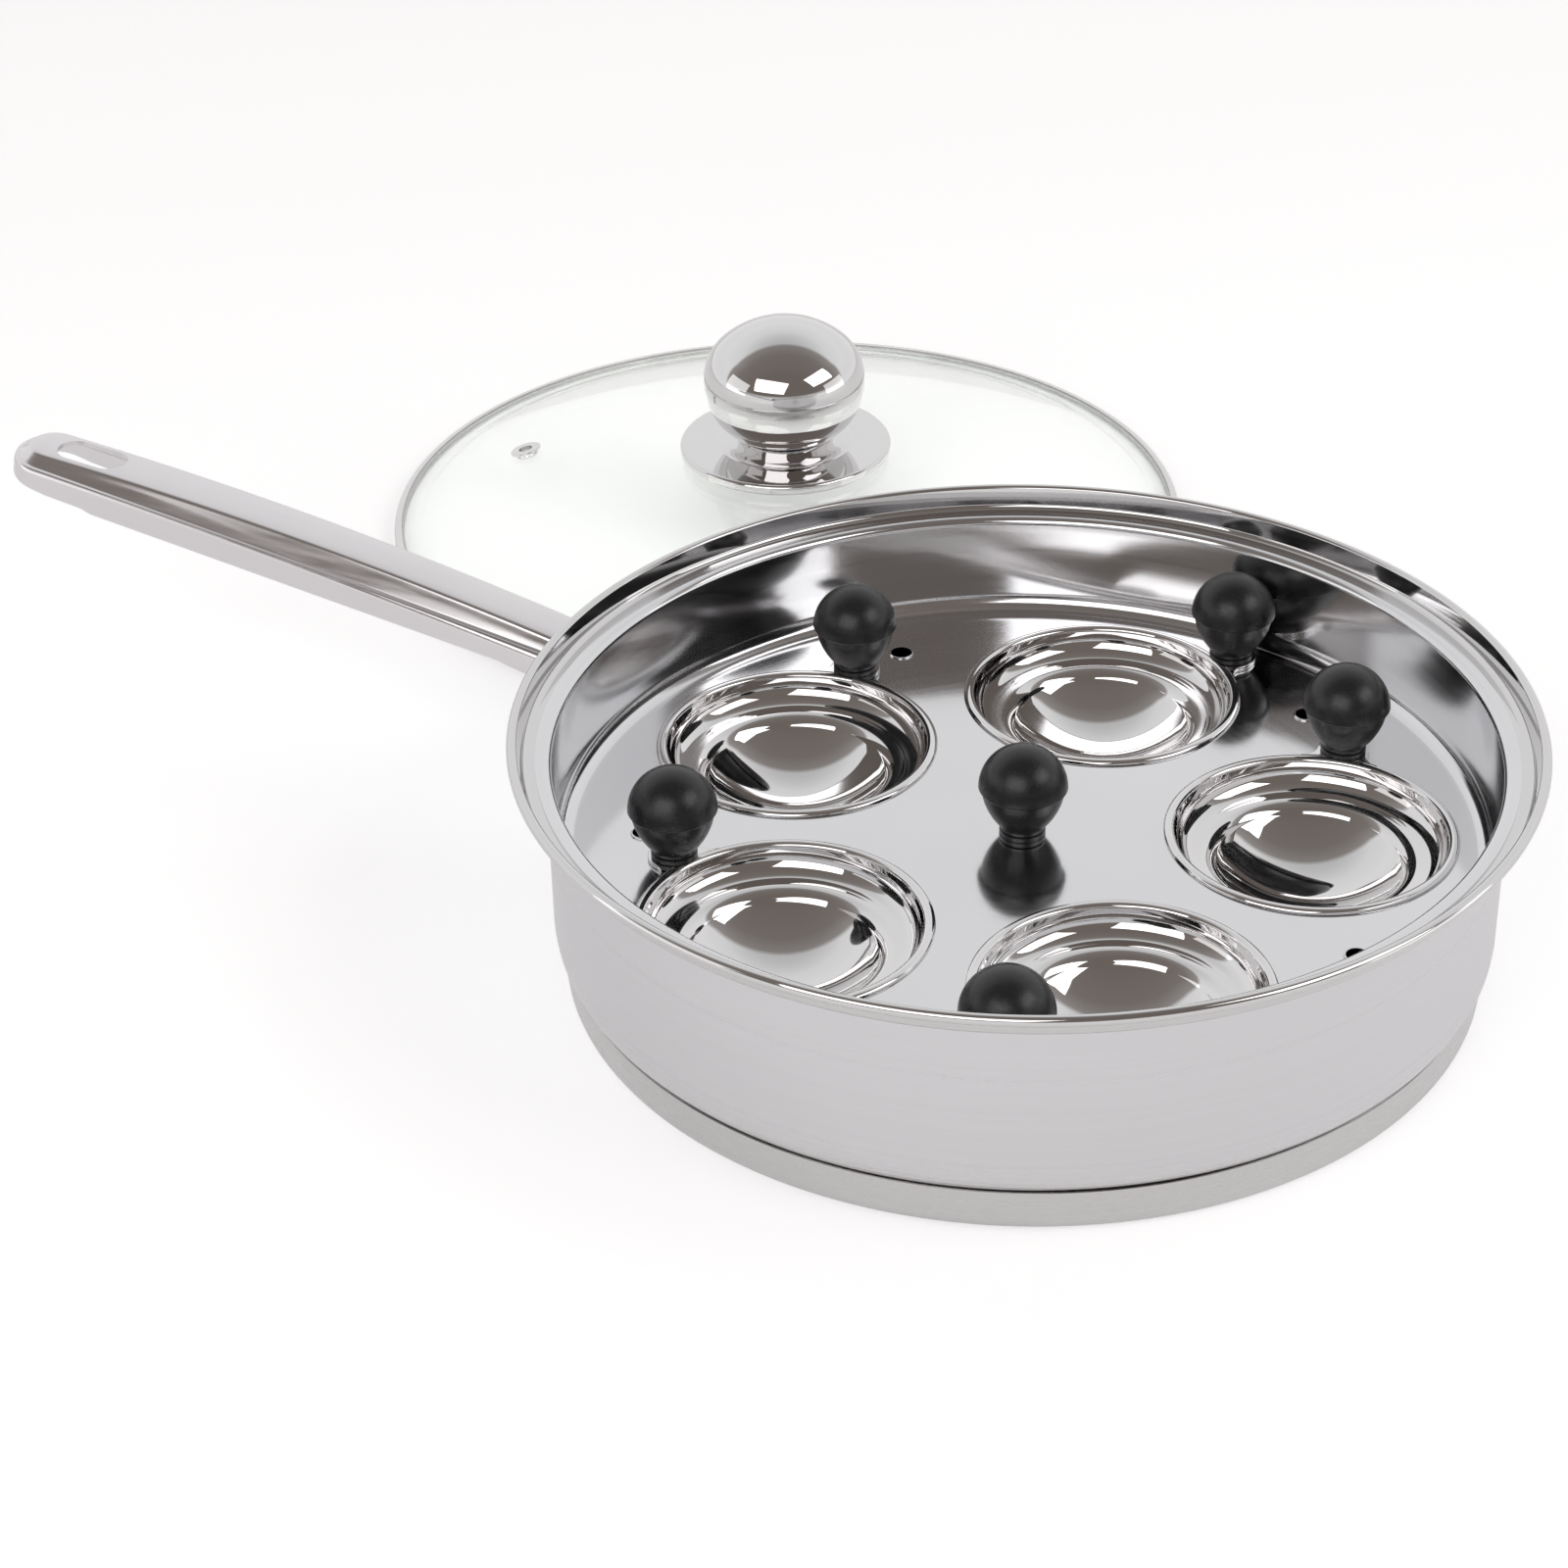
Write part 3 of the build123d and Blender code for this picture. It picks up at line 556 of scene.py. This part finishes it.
# %% [markdown]
# The black knobs are a heat-proof moulding, dull with a fine grain. Its highlights are broad and faintly blue,
# so the roughness is high and the grain is a small bump. The lid's glass is clear with a breath of green, and
# lets the lamps' light through to the table as real glass does.

# %% Moulding, rubber and glass
def moulding(name, colour, rough, grain, depth):
    """Plastic or rubber with an even grain."""
    finish, tree, shader = new_finish(name)
    fine = stretched_noise(tree, (grain, grain, grain), 4.0)
    tree.links.new(spread(tree, fine, rough - 0.05, rough + 0.06), shader.inputs["Roughness"])
    bump(tree, shader, fine, depth)
    tint = two_shades(tree, fine, shade(colour, 0.7), shade(colour, 1.3))
    tree.links.new(tint, shader.inputs["Base Color"])
    return finish


finishes["knob_black"] = moulding("knob_black", (0.010, 0.0105, 0.012), 0.32, 1500, 0.00003)
finishes["core_plastic"] = moulding("core_plastic", (0.05, 0.05, 0.05), 0.6, 900, 0.00002)
# The seal's pale grey is partly the rubber's own colour and partly painted light: it is raised so that the ring,
# which sits in shade under the band, reads light.
finishes["seal_rubber"] = moulding("seal_rubber", (0.84, 0.86, 0.86), 0.5, 900, 0.00001)

glass, tree, shader = new_finish("lid_glass")
shader.inputs["Base Color"].default_value = (0.95, 0.957, 0.938, 1)
shader.inputs["Roughness"].default_value = 0.0
shader.inputs["Transmission Weight"].default_value = 1.0
shader.inputs["IOR"].default_value = 1.46
clear = tree.nodes.new("ShaderNodeBsdfTransparent")
clear.inputs["Color"].default_value = (0.95, 0.965, 0.95, 1)
lamp_rays = tree.nodes.new("ShaderNodeLightPath")
pass_light = tree.nodes.new("ShaderNodeMixShader")
tree.links.new(lamp_rays.outputs["Is Shadow Ray"], pass_light.inputs[0])
tree.links.new(shader.outputs[0], pass_light.inputs[1])
tree.links.new(clear.outputs[0], pass_light.inputs[2])
tree.links.new(pass_light.outputs[0], tree.nodes["Material Output"].inputs["Surface"])
finishes["lid_glass"] = glass

for part in frame["record"]["subparts"]:
    node = frame["nodes"][part["node"]]
    node.data.materials.clear()
    node.data.materials.append(finishes[part["material_slot"]])

# %% [markdown]
# The pan's shell is one drawn sheet. Its inside line runs from the middle of the floor up the wall, over the
# ledge that carries the tray and up the seat wall to a rolled bead. The bead is a full round, so its arc is put
# between the two lines of the sheet. The base cap under it is a shallow dish with one rounded corner.

# %% Pan shell and base cap
inside = rounded([(0, 10.4), (115.2, 10.4), (115.2, 60.5), (121.3, 60.5), (122.48, 65.92)], [7.2, 2.3, 1.6])
bead = arc((123.649, 65.25), 1.35, 150, -125, 20)
outside = rounded([(122.87, 64.1), (121.945, 59.7), (116, 59.7), (116, 9.6), (0, 9.6)], [2.4, 1.5, 8.0])
pan = turned("drawn_pan_shell", inside[:-1] + bead + outside[1:], steps=256)
smooth(pan)
stands_for(pan, "pan_shell", "pan", "pan_steel")

cap_line = rounded([(0, 0.6), (113.0, 0.6), (113.0, 11.05)], [2.9])
base = turned("brushed_base_cap", sheet(cap_line, 0.6), steps=256)
smooth(base)
stands_for(base, "base_cap", "pan", "base_steel")

# %% [markdown]
# The tray is a shallow dish with a lip, pierced by five round holes for the cups and five small steam vents.
# It is turned first. Each vent gets a small raised rim, turned on its own and joined on, and then all the holes
# are cut through with cylinders in one Boolean, as a punch does it.

# %% Tray
def cylinder(name, place, radius, depth, sides):
    """A plain cutting cylinder, in millimetres."""
    bpy.ops.object.select_all(action="DESELECT")
    bpy.ops.mesh.primitive_cylinder_add(
        vertices=sides, radius=radius * MM, depth=depth * MM, location=Vector(place) * MM
    )
    cutter = bpy.context.object
    cutter.name = name
    return cutter


def join(pieces, name):
    """Several objects made one."""
    bpy.ops.object.select_all(action="DESELECT")
    for piece in pieces:
        piece.select_set(True)
    bpy.context.view_layer.objects.active = pieces[0]
    bpy.ops.object.join()
    pieces[0].name = name
    return pieces[0]


def combine(piece, tool, operation):
    """Cuts a tool out of a piece, or adds it, and throws the tool away."""
    bpy.ops.object.select_all(action="DESELECT")
    piece.select_set(True)
    bpy.context.view_layer.objects.active = piece
    step = piece.modifiers.new("combine", "BOOLEAN")
    step.operation = operation
    step.object = tool
    bpy.ops.object.modifier_apply(modifier=step.name)
    bpy.data.objects.remove(tool)


PLATE_TOP = 34.0
CUP_CIRCLE, FIRST_CUP = 70.6, 24.2
VENT_CIRCLE, FIRST_VENT = 93.3, 61.6
ONE_FIFTH = 72
dish_line = rounded([(0, 34.0), (114.4, 34.0), (114.4, 61.0), (118.3, 61.0)], [4.5, 2.0])
tray = turned("pressed_tray", sheet(dish_line, 0.5), steps=256)
vent_rims = []
cutters = [cylinder("middle_hole", (0, 0, PLATE_TOP), 2.2, 8, 32)]
for index in range(5):
    spot = from_angles(FIRST_VENT + ONE_FIFTH * index, 0) * VENT_CIRCLE
    rim_section = rounded([(2.4, 33.6), (3.25, 33.6), (3.25, 34.45), (2.4, 34.45)], [0, 0.4], 5)
    vent_rims.append(turned("vent_rim", rim_section, (spot.x, spot.y, 0), 48, closed=True))
    cutters.append(cylinder("vent_hole", (spot.x, spot.y, PLATE_TOP), 2.75, 8, 48))
    hole = from_angles(FIRST_CUP + ONE_FIFTH * index, 0) * CUP_CIRCLE
    cutters.append(cylinder("cup_hole", (hole.x, hole.y, PLATE_TOP), 34.3, 8, 128))
combine(tray, join(vent_rims, "vent_rims"), "UNION")
combine(tray, join(cutters, "punch"), "DIFFERENCE")
smooth(tray, 30)
stands_for(tray, "tray_dish", "tray", "tray_steel")

# %% [markdown]
# A cup is spun from thin sheet: a round bottom, a crease, a narrow step, a hollow wall and a flange whose edge
# is hemmed into a bead. Such thin, round ware is made on a lathe, so it is turned here too, once, about its own
# axis.

# %% Cup bowl
def cup_section():
    """Inside line of a cup from its middle up, round the bead, and back down its outside."""
    bowl = arc((0, 16.5 + 34.29), 34.29, -90, -48.8, 14)
    ledge = [(27.4, 27.62), (27.9, 27.7)]
    wall = [(28.3 + 5.0 * sin(t * pi / 24), 27.75 + 5.9 * (1 - cos(t * pi / 24))) for t in range(12)]
    lip = [(33.3, 34.0)]
    bead = [(34.7 - 1.4 * cos(t * pi / 14), 34.08 + 1.12 * sin(t * pi / 14)) for t in range(1, 15)]
    under = [(35.9, 34.02), (34.6, 34.02), (34.1, 34.0)]
    step = [(22.6, 24.95), (22.95, 25.5), (23.8, 26.6), (25.2, 27.35), (26.4, 27.6)]
    inner = bowl[:-1] + step + ledge + wall + lip
    skin = [(r, z) for r, z in beside(inner, 0.6) if z < 33.6]
    return inner + bead + under + skin[::-1]


bowl = turned("spun_cup", cup_section(), steps=128)
smooth(bowl, 40)
print("cup", round(bowl.dimensions.x / MM, 1), "mm across")

# %% [markdown]
# The ear. A flat tab on one side of the flange carries the knob. It is stamped from sheet, so it is drawn in
# outline, filled, pulled up to its thickness, and its edges are eased by a bevel.

# %% Cup ear
EAR_REACH, EAR_ROUND, NECK_ROUND = 39.6, 6.6, 4.0
FLANGE = 36.0


def ear_outline():
    """Plan of the ear: round end, straight sides and hollow necks that run into the flange."""
    end = arc((EAR_REACH, 0), EAR_ROUND, 90, -90, 20)
    aside = EAR_ROUND + NECK_ROUND
    neck_middle = sqrt((FLANGE + NECK_ROUND) ** 2 - aside**2)
    lower = arc((neck_middle, -aside), NECK_ROUND, 90, 165, 8)
    upper = [(x, -y) for x, y in lower[::-1]]
    back = arc((0, 0), 35.4, -17, 17, 10)
    return end + lower + back + upper


ear = start_point("cup_ear")
draw_line([(x, y, PLATE_TOP + 0.05) for x, y in ear_outline()])
bpy.ops.mesh.select_all(action="SELECT")
bpy.ops.mesh.edge_face_add()
bpy.ops.mesh.extrude_region_move(TRANSFORM_OT_translate={"value": (0, 0, 1.05 * MM)})
bpy.ops.mesh.select_all(action="SELECT")
bpy.ops.mesh.normals_make_consistent(inside=False)
bpy.ops.object.mode_set(mode="OBJECT")
soften = ear.modifiers.new("soften", "BEVEL")
soften.width = 0.35 * MM
soften.segments = 3
soften.angle_limit = radians(60)
bpy.ops.object.modifier_apply(modifier=soften.name)
smooth(ear, 40)
print("ear", [round(v / MM, 1) for v in ear.dimensions])


# %% [markdown]
# The five cups. Bowl and ear are copied to the five places, each copy with a mesh of its own, and joined. Each
# cup was dropped into its hole with its ear turned as it came, so every one has its own turn.

# %% Cups in their places
def placed_copy(piece, name, matrix):
    """A copy with its own mesh, moved to its place and left with no turn of its own."""
    copy = piece.copy()
    copy.data = piece.data.copy()
    copy.name = name
    copy.data.name = name
    bpy.context.scene.collection.objects.link(copy)
    bpy.ops.object.select_all(action="DESELECT")
    copy.select_set(True)
    bpy.context.view_layer.objects.active = copy
    copy.matrix_world = matrix
    bpy.ops.object.transform_apply(location=True, rotation=True, scale=True)
    return copy


EAR_TURNS = (73.5, -43.7, -74.8, -81.6, -60.7)
cup_frames = []
for index, ear_turn in enumerate(EAR_TURNS):
    azimuth = FIRST_CUP + ONE_FIFTH * index
    place = from_angles(azimuth, 0) * CUP_CIRCLE * MM
    frame_here = Matrix.Translation(place) @ Matrix.Rotation(radians(azimuth + ear_turn), 4, "Z")
    cup_frames.append(frame_here)
    cup = placed_copy(bowl, f"spun_cup_{index + 1}", frame_here)
    tab = placed_copy(ear, f"cup_ear_{index + 1}", frame_here)
    cup = join([cup, tab], f"spun_cup_{index + 1}")
    stands_for(cup, f"egg_cup_{index + 1}", f"cup_{index + 1}", "cup_steel")
bpy.data.objects.remove(bowl)
bpy.data.objects.remove(ear)

# %% [markdown]
# The ball knobs come from a mould: a short grooved neck, a cone that swells into the lower half, and a ball on
# top that stands out by a small step where the mould parts. One outline makes them all, six times.

# %% Ball knobs
KNOB_SEAT = 35.2
taper = [(5.7, 2.6), (6.85, 3.95), (7.9, 5.5), (8.85, 7.3), (9.6, 9.2), (10.05, 11.0), (10.2, 12.7)]
neck = [(0, 0.0), (5.5, 0.0), (5.7, 0.2), (5.7, 1.25), (5.2, 1.5), (5.2, 1.6), (5.7, 1.85)]
ball = arc((0, 12.8), 11.0, 1.5, 90, 20)
knob = turned("ball_knob", neck + taper + [(10.75, 12.75)] + ball, steps=96)
smooth(knob, 30)
tray_knob = placed_copy(knob, "tray_ball_knob", Matrix.Translation((0, 0, PLATE_TOP * MM)))
stands_for(tray_knob, "tray_knob", "tray", "knob_black")
for index, frame_here in enumerate(cup_frames):
    place = frame_here @ Matrix.Translation(Vector((EAR_REACH, 0, KNOB_SEAT)) * MM)
    cup_knob = placed_copy(knob, f"cup_ball_knob_{index + 1}", place)
    stands_for(cup_knob, f"cup_knob_{index + 1}", f"cup_{index + 1}", "knob_black")
bpy.data.objects.remove(knob)

# %% [markdown]
# The lid: a dome of toughened glass with a flat edge, held in a steel channel. Glass shows every flat of a
# rough mesh twice, once on each face, so it is turned finely. The hole for the screw is left open by starting
# the line away from the axis, and the steam vent is punched square to the dome.

# %% Lid glass and band
DOME_RADIUS = 335.93
DOME_MIDDLE = -311.93
VENT_REACH, VENT_AZIMUTH = 84.3, 191.2
end_angle = 19.627
hole_angle = degrees(asin(5.5 / DOME_RADIUS))
dome = arc((0, DOME_MIDDLE), DOME_RADIUS, 90 - hole_angle, 90 - end_angle, 24)
foot = arc((116.2, 13.9), 10.0, 270 - end_angle, 270, 6)[1:]
glass_line = dome + foot + [(119.4, 3.9)]
pane = turned("lid_glass_dome", sheet(glass_line, 3.0), LID, 256, closed=True)
lean = degrees(asin(VENT_REACH / DOME_RADIUS))
vent_way = Matrix.Rotation(radians(VENT_AZIMUTH), 4, "Z") @ Matrix.Translation((0, 0, DOME_MIDDLE * MM))
vent_way = vent_way @ Matrix.Rotation(radians(lean), 4, "Y")
vent_way = vent_way @ Matrix.Translation((0, 0, DOME_RADIUS * MM))
punch = cylinder("lid_vent_hole", (0, 0, 0), 2.85, 14, 48)
punch.matrix_world = Matrix.Translation(Vector(LID) * MM) @ vent_way
combine(pane, punch, "DIFFERENCE")
smooth(pane, 30)
stands_for(pane, "lid_glass", "lid", "lid_glass")

band_line = rounded([(118.2, 0.5), (119.9, 0.5), (119.9, 4.3), (118.2, 4.3)], [0.5, 0.9])
band = turned("lid_edge_band", sheet(band_line, 0.5), LID, 256, closed=True)
smooth(band)
stands_for(band, "lid_band", "lid", "lid_steel")

# %% [markdown]
# The lid's knob is two spun halves that meet at a ring, on a stamped collar plate with a hollow-sided boss.
# It is the brightest mirror on the whole object, so all four parts are turned finely.

# %% Lid knob
collar_line = rounded([(32.0, 24.2), (32.0, 26.6), (20.6, 26.6), (20.1, 27.1)], [1.2, 0.4])
collar_line += [(18.6, 27.37), (17.21, 28.01), (15.9, 28.83), (14.95, 29.5), (14.5, 29.7), (2.65, 29.7)]
collar = turned("collar_plate", sheet(collar_line, -0.8), LID, 192, closed=True)
smooth(collar, 40)
stands_for(collar, "lid_collar", "lid", "lid_steel")

lower_line = [(9.0, 29.9), (14.3, 29.9)] + arc((8.014, 44.2), 15.786, -64.5, 0, 20)
lower = turned("knob_lower_bowl", sheet(lower_line, -0.8), LID, 192, closed=True)
smooth(lower, 40)
stands_for(lower, "lid_knob_lower", "lid", "lid_steel")

seam_section = rounded([(23.0, 44.2), (24.2, 44.2), (24.2, 47.6), (23.0, 47.6)], [0.35, 0.35])
seam = turned("knob_seam_ring", seam_section, LID, 192, closed=True)
smooth(seam)
stands_for(seam, "lid_knob_ring", "lid", "lid_steel")

crown_line = arc((10.2, 47.6), 14.0, 0, 48.16, 16) + arc((0, 36.21), 29.29, 48.16, 90, 16)[1:]
crown = turned("knob_crown", sheet(crown_line, -0.8), LID, 192)
smooth(crown)
stands_for(crown, "lid_knob_upper", "lid", "lid_steel")

# %% [markdown]
# The handle is a sheet channel: a crowned top, sides that round over into a hollow, and a skirt that bulges
# below it. Its section changes slowly along its length and then sweeps round the tip. A stamping starts as a
# flat blank, and so does this: a grid is added, its rows are carried to their stations along one side, round
# the tip and back along the other, and then a Solidify modifier gives the sheet its thickness. The slanted side
# above the hollow mirrors the dark room, and the hollow itself the white one, which draws the two lines along it.

# %% Handle sheet
WALL = 116.0
STRAIGHT = 171.4
SHEET = 1.2


def handle_section(share):
    """Half section from the middle of the top down to the skirt's edge: across and up, in millimetres."""
    swell = 4 * share * (1 - share)
    half = 6.3 + 0.9 * share
    top = 4.5 - 0.3 * share + 2.9 * swell
    valley = 0.9 * swell
    skirt = -3.9 - 2.1 * share
    crown = [(0, top), (half * 0.3, top - 0.03), (half * 0.55, top - 0.1), (half - 1.3, top - 0.28)]
    crown += [(half - 0.75, top - 0.44), (half - 0.35, top - 0.66), (half - 0.05, top - 1.0)]
    start = top - 1.0
    low = valley + 1.25
    reach = 1.0 + swell + 1.15 * share**2
    shares = (0.2, 0.4, 0.6, 0.8, 0.93, 1.0)
    side = [(half - 0.05 + reach * t**1.15, start - (start - low) * t) for t in shares]
    lip = half + reach
    hollow = [(lip + 0.12, low - 0.12), (lip + 0.45, low - 0.17), (lip + 0.8, low - 0.18)]
    bulge = 3.05 - reach
    shoulder = [
        (lip + 0.8 + bulge * sin(t * pi / 14), low - 0.18 - 2.1 * (1 - cos(t * pi / 14))) for t in range(1, 8)
    ]
    foot = shoulder[-1]
    lean_out, drop = half + 4.2 - foot[0], skirt - foot[1]
    fall = [(foot[0] + lean_out * t / 4, foot[1] + drop * t / 4) for t in range(1, 5)]
    return crown + side + hollow + shoulder + fall


def handle_stations():
    """Each station's share of the length, its place along the middle and the turn of its section."""
    along = [-3 / STRAIGHT + (1 + 3 / STRAIGHT) * i / 24 for i in range(25)]
    one_side = [(share, share * STRAIGHT, -90) for share in along]
    tip = [(1, STRAIGHT, -90 + 7.5 * i) for i in range(1, 24)]
    return one_side + tip + [(share, place, 90) for share, place, _ in one_side[::-1]]


stations = handle_stations()
columns = len(handle_section(0))
bpy.ops.object.select_all(action="DESELECT")
bpy.ops.mesh.primitive_grid_add(x_subdivisions=columns - 1, y_subdivisions=len(stations) - 1, size=1)
handle = bpy.context.object
handle.name = handle.data.name = "stamped_handle"
for row, (share, place, azimuth) in enumerate(stations):
    for column, (out, up) in enumerate(handle_section(max(0.0, share))):
        spoke = from_angles(azimuth, 0) * out
        handle.data.vertices[row * columns + column].co = Vector((place + spoke.x, spoke.y, up)) * MM
bpy.ops.object.mode_set(mode="EDIT")
bpy.ops.mesh.select_all(action="SELECT")
bpy.ops.mesh.remove_doubles(threshold=MERGE)
bpy.ops.mesh.normals_make_consistent(inside=False)
bpy.ops.object.mode_set(mode="OBJECT")
top_face = max(handle.data.polygons, key=lambda face: face.center.z)
thick = handle.modifiers.new("thick", "SOLIDIFY")
thick.thickness = SHEET * MM
thick.offset = -1 if top_face.normal.z > 0 else 1
thick.use_even_offset = True
bpy.ops.object.modifier_apply(modifier=thick.name)
print("handle sheet", [round(v / MM, 1) for v in handle.dimensions])


# %% [markdown]
# The handle's cuts. A press punches the slot and trims the tip, and the root is cut to sit against the round wall
# under the rim. Each cut is a block of its own: two are drawn in outline and pulled out, and the saddle is
# turned about the pan's axis. The handle is laid in its slope before the saddle is cut, because the saddle
# belongs to the pan.

# %% Handle cuts
def prism(name, outline, half_depth):
    """A plain cutting block drawn in side view and pulled out both ways, in millimetres."""
    block = start_point(name)
    draw_line([(x, -half_depth, z) for x, z in outline])
    bpy.ops.mesh.select_all(action="SELECT")
    bpy.ops.mesh.edge_face_add()
    bpy.ops.mesh.extrude_region_move(TRANSFORM_OT_translate={"value": (0, 2 * half_depth * MM, 0)})
    bpy.ops.mesh.select_all(action="SELECT")
    bpy.ops.mesh.normals_make_consistent(inside=False)
    bpy.ops.object.mode_set(mode="OBJECT")
    return block


def slot_cutter(length, width, middle, low, high):
    """A block with round ends, drawn in plan and pulled up."""
    reach = (length - width) / 2
    ends = arc((middle + reach, 0), width / 2, -90, 90, 16)
    ends += arc((middle - reach, 0), width / 2, 90, 270, 16)
    block = start_point("slot_cutter")
    draw_line([(x, y, low) for x, y in ends])
    bpy.ops.mesh.select_all(action="SELECT")
    bpy.ops.mesh.edge_face_add()
    bpy.ops.mesh.extrude_region_move(TRANSFORM_OT_translate={"value": (0, 0, (high - low) * MM)})
    bpy.ops.mesh.select_all(action="SELECT")
    bpy.ops.mesh.normals_make_consistent(inside=False)
    bpy.ops.object.mode_set(mode="OBJECT")
    return block


SLOT_MIDDLE, SLOT_LENGTH, SLOT_WIDTH = 159.2, 20.8, 10.0
ROOT_HEIGHT = 54.5
combine(handle, slot_cutter(SLOT_LENGTH, SLOT_WIDTH, SLOT_MIDDLE, -12, 12), "DIFFERENCE")
trim = [(151, -6), (155, -5.1), (167, -5.1), (183.2, -3.6), (186, -3.6), (186, -9), (151, -9)]
combine(handle, prism("tip_trim", trim, 14), "DIFFERENCE")
slope = radians(HANDLE_SLOPE)
handle_frame = Matrix((
    (-cos(slope), 0, sin(slope), -WALL * MM),
    (0, -1, 0, 0),
    (sin(slope), 0, cos(slope), ROOT_HEIGHT * MM),
    (0, 0, 0, 1),
))
bpy.ops.object.select_all(action="DESELECT")
handle.select_set(True)
bpy.context.view_layer.objects.active = handle
handle.matrix_world = handle_frame
bpy.ops.object.transform_apply(location=True, rotation=True, scale=True)
saddle = rounded([(0, 0), (116.3, 0), (116.3, 59.4), (122.4, 59.4), (122.4, 80), (0, 80)], [0, 1.5, 2.4, 0])
combine(handle, turned("pan_saddle", saddle, steps=256), "DIFFERENCE")
print("handle", [round(v / MM, 1) for v in handle.dimensions], len(handle.data.polygons), "faces")
smooth(handle, 32)
stands_for(handle, "handle", "pan", "handle_steel")

# %% [markdown]
# Last, the view transform is set to Standard.

# %% Finish
bpy.context.scene.view_settings.view_transform = "Standard"
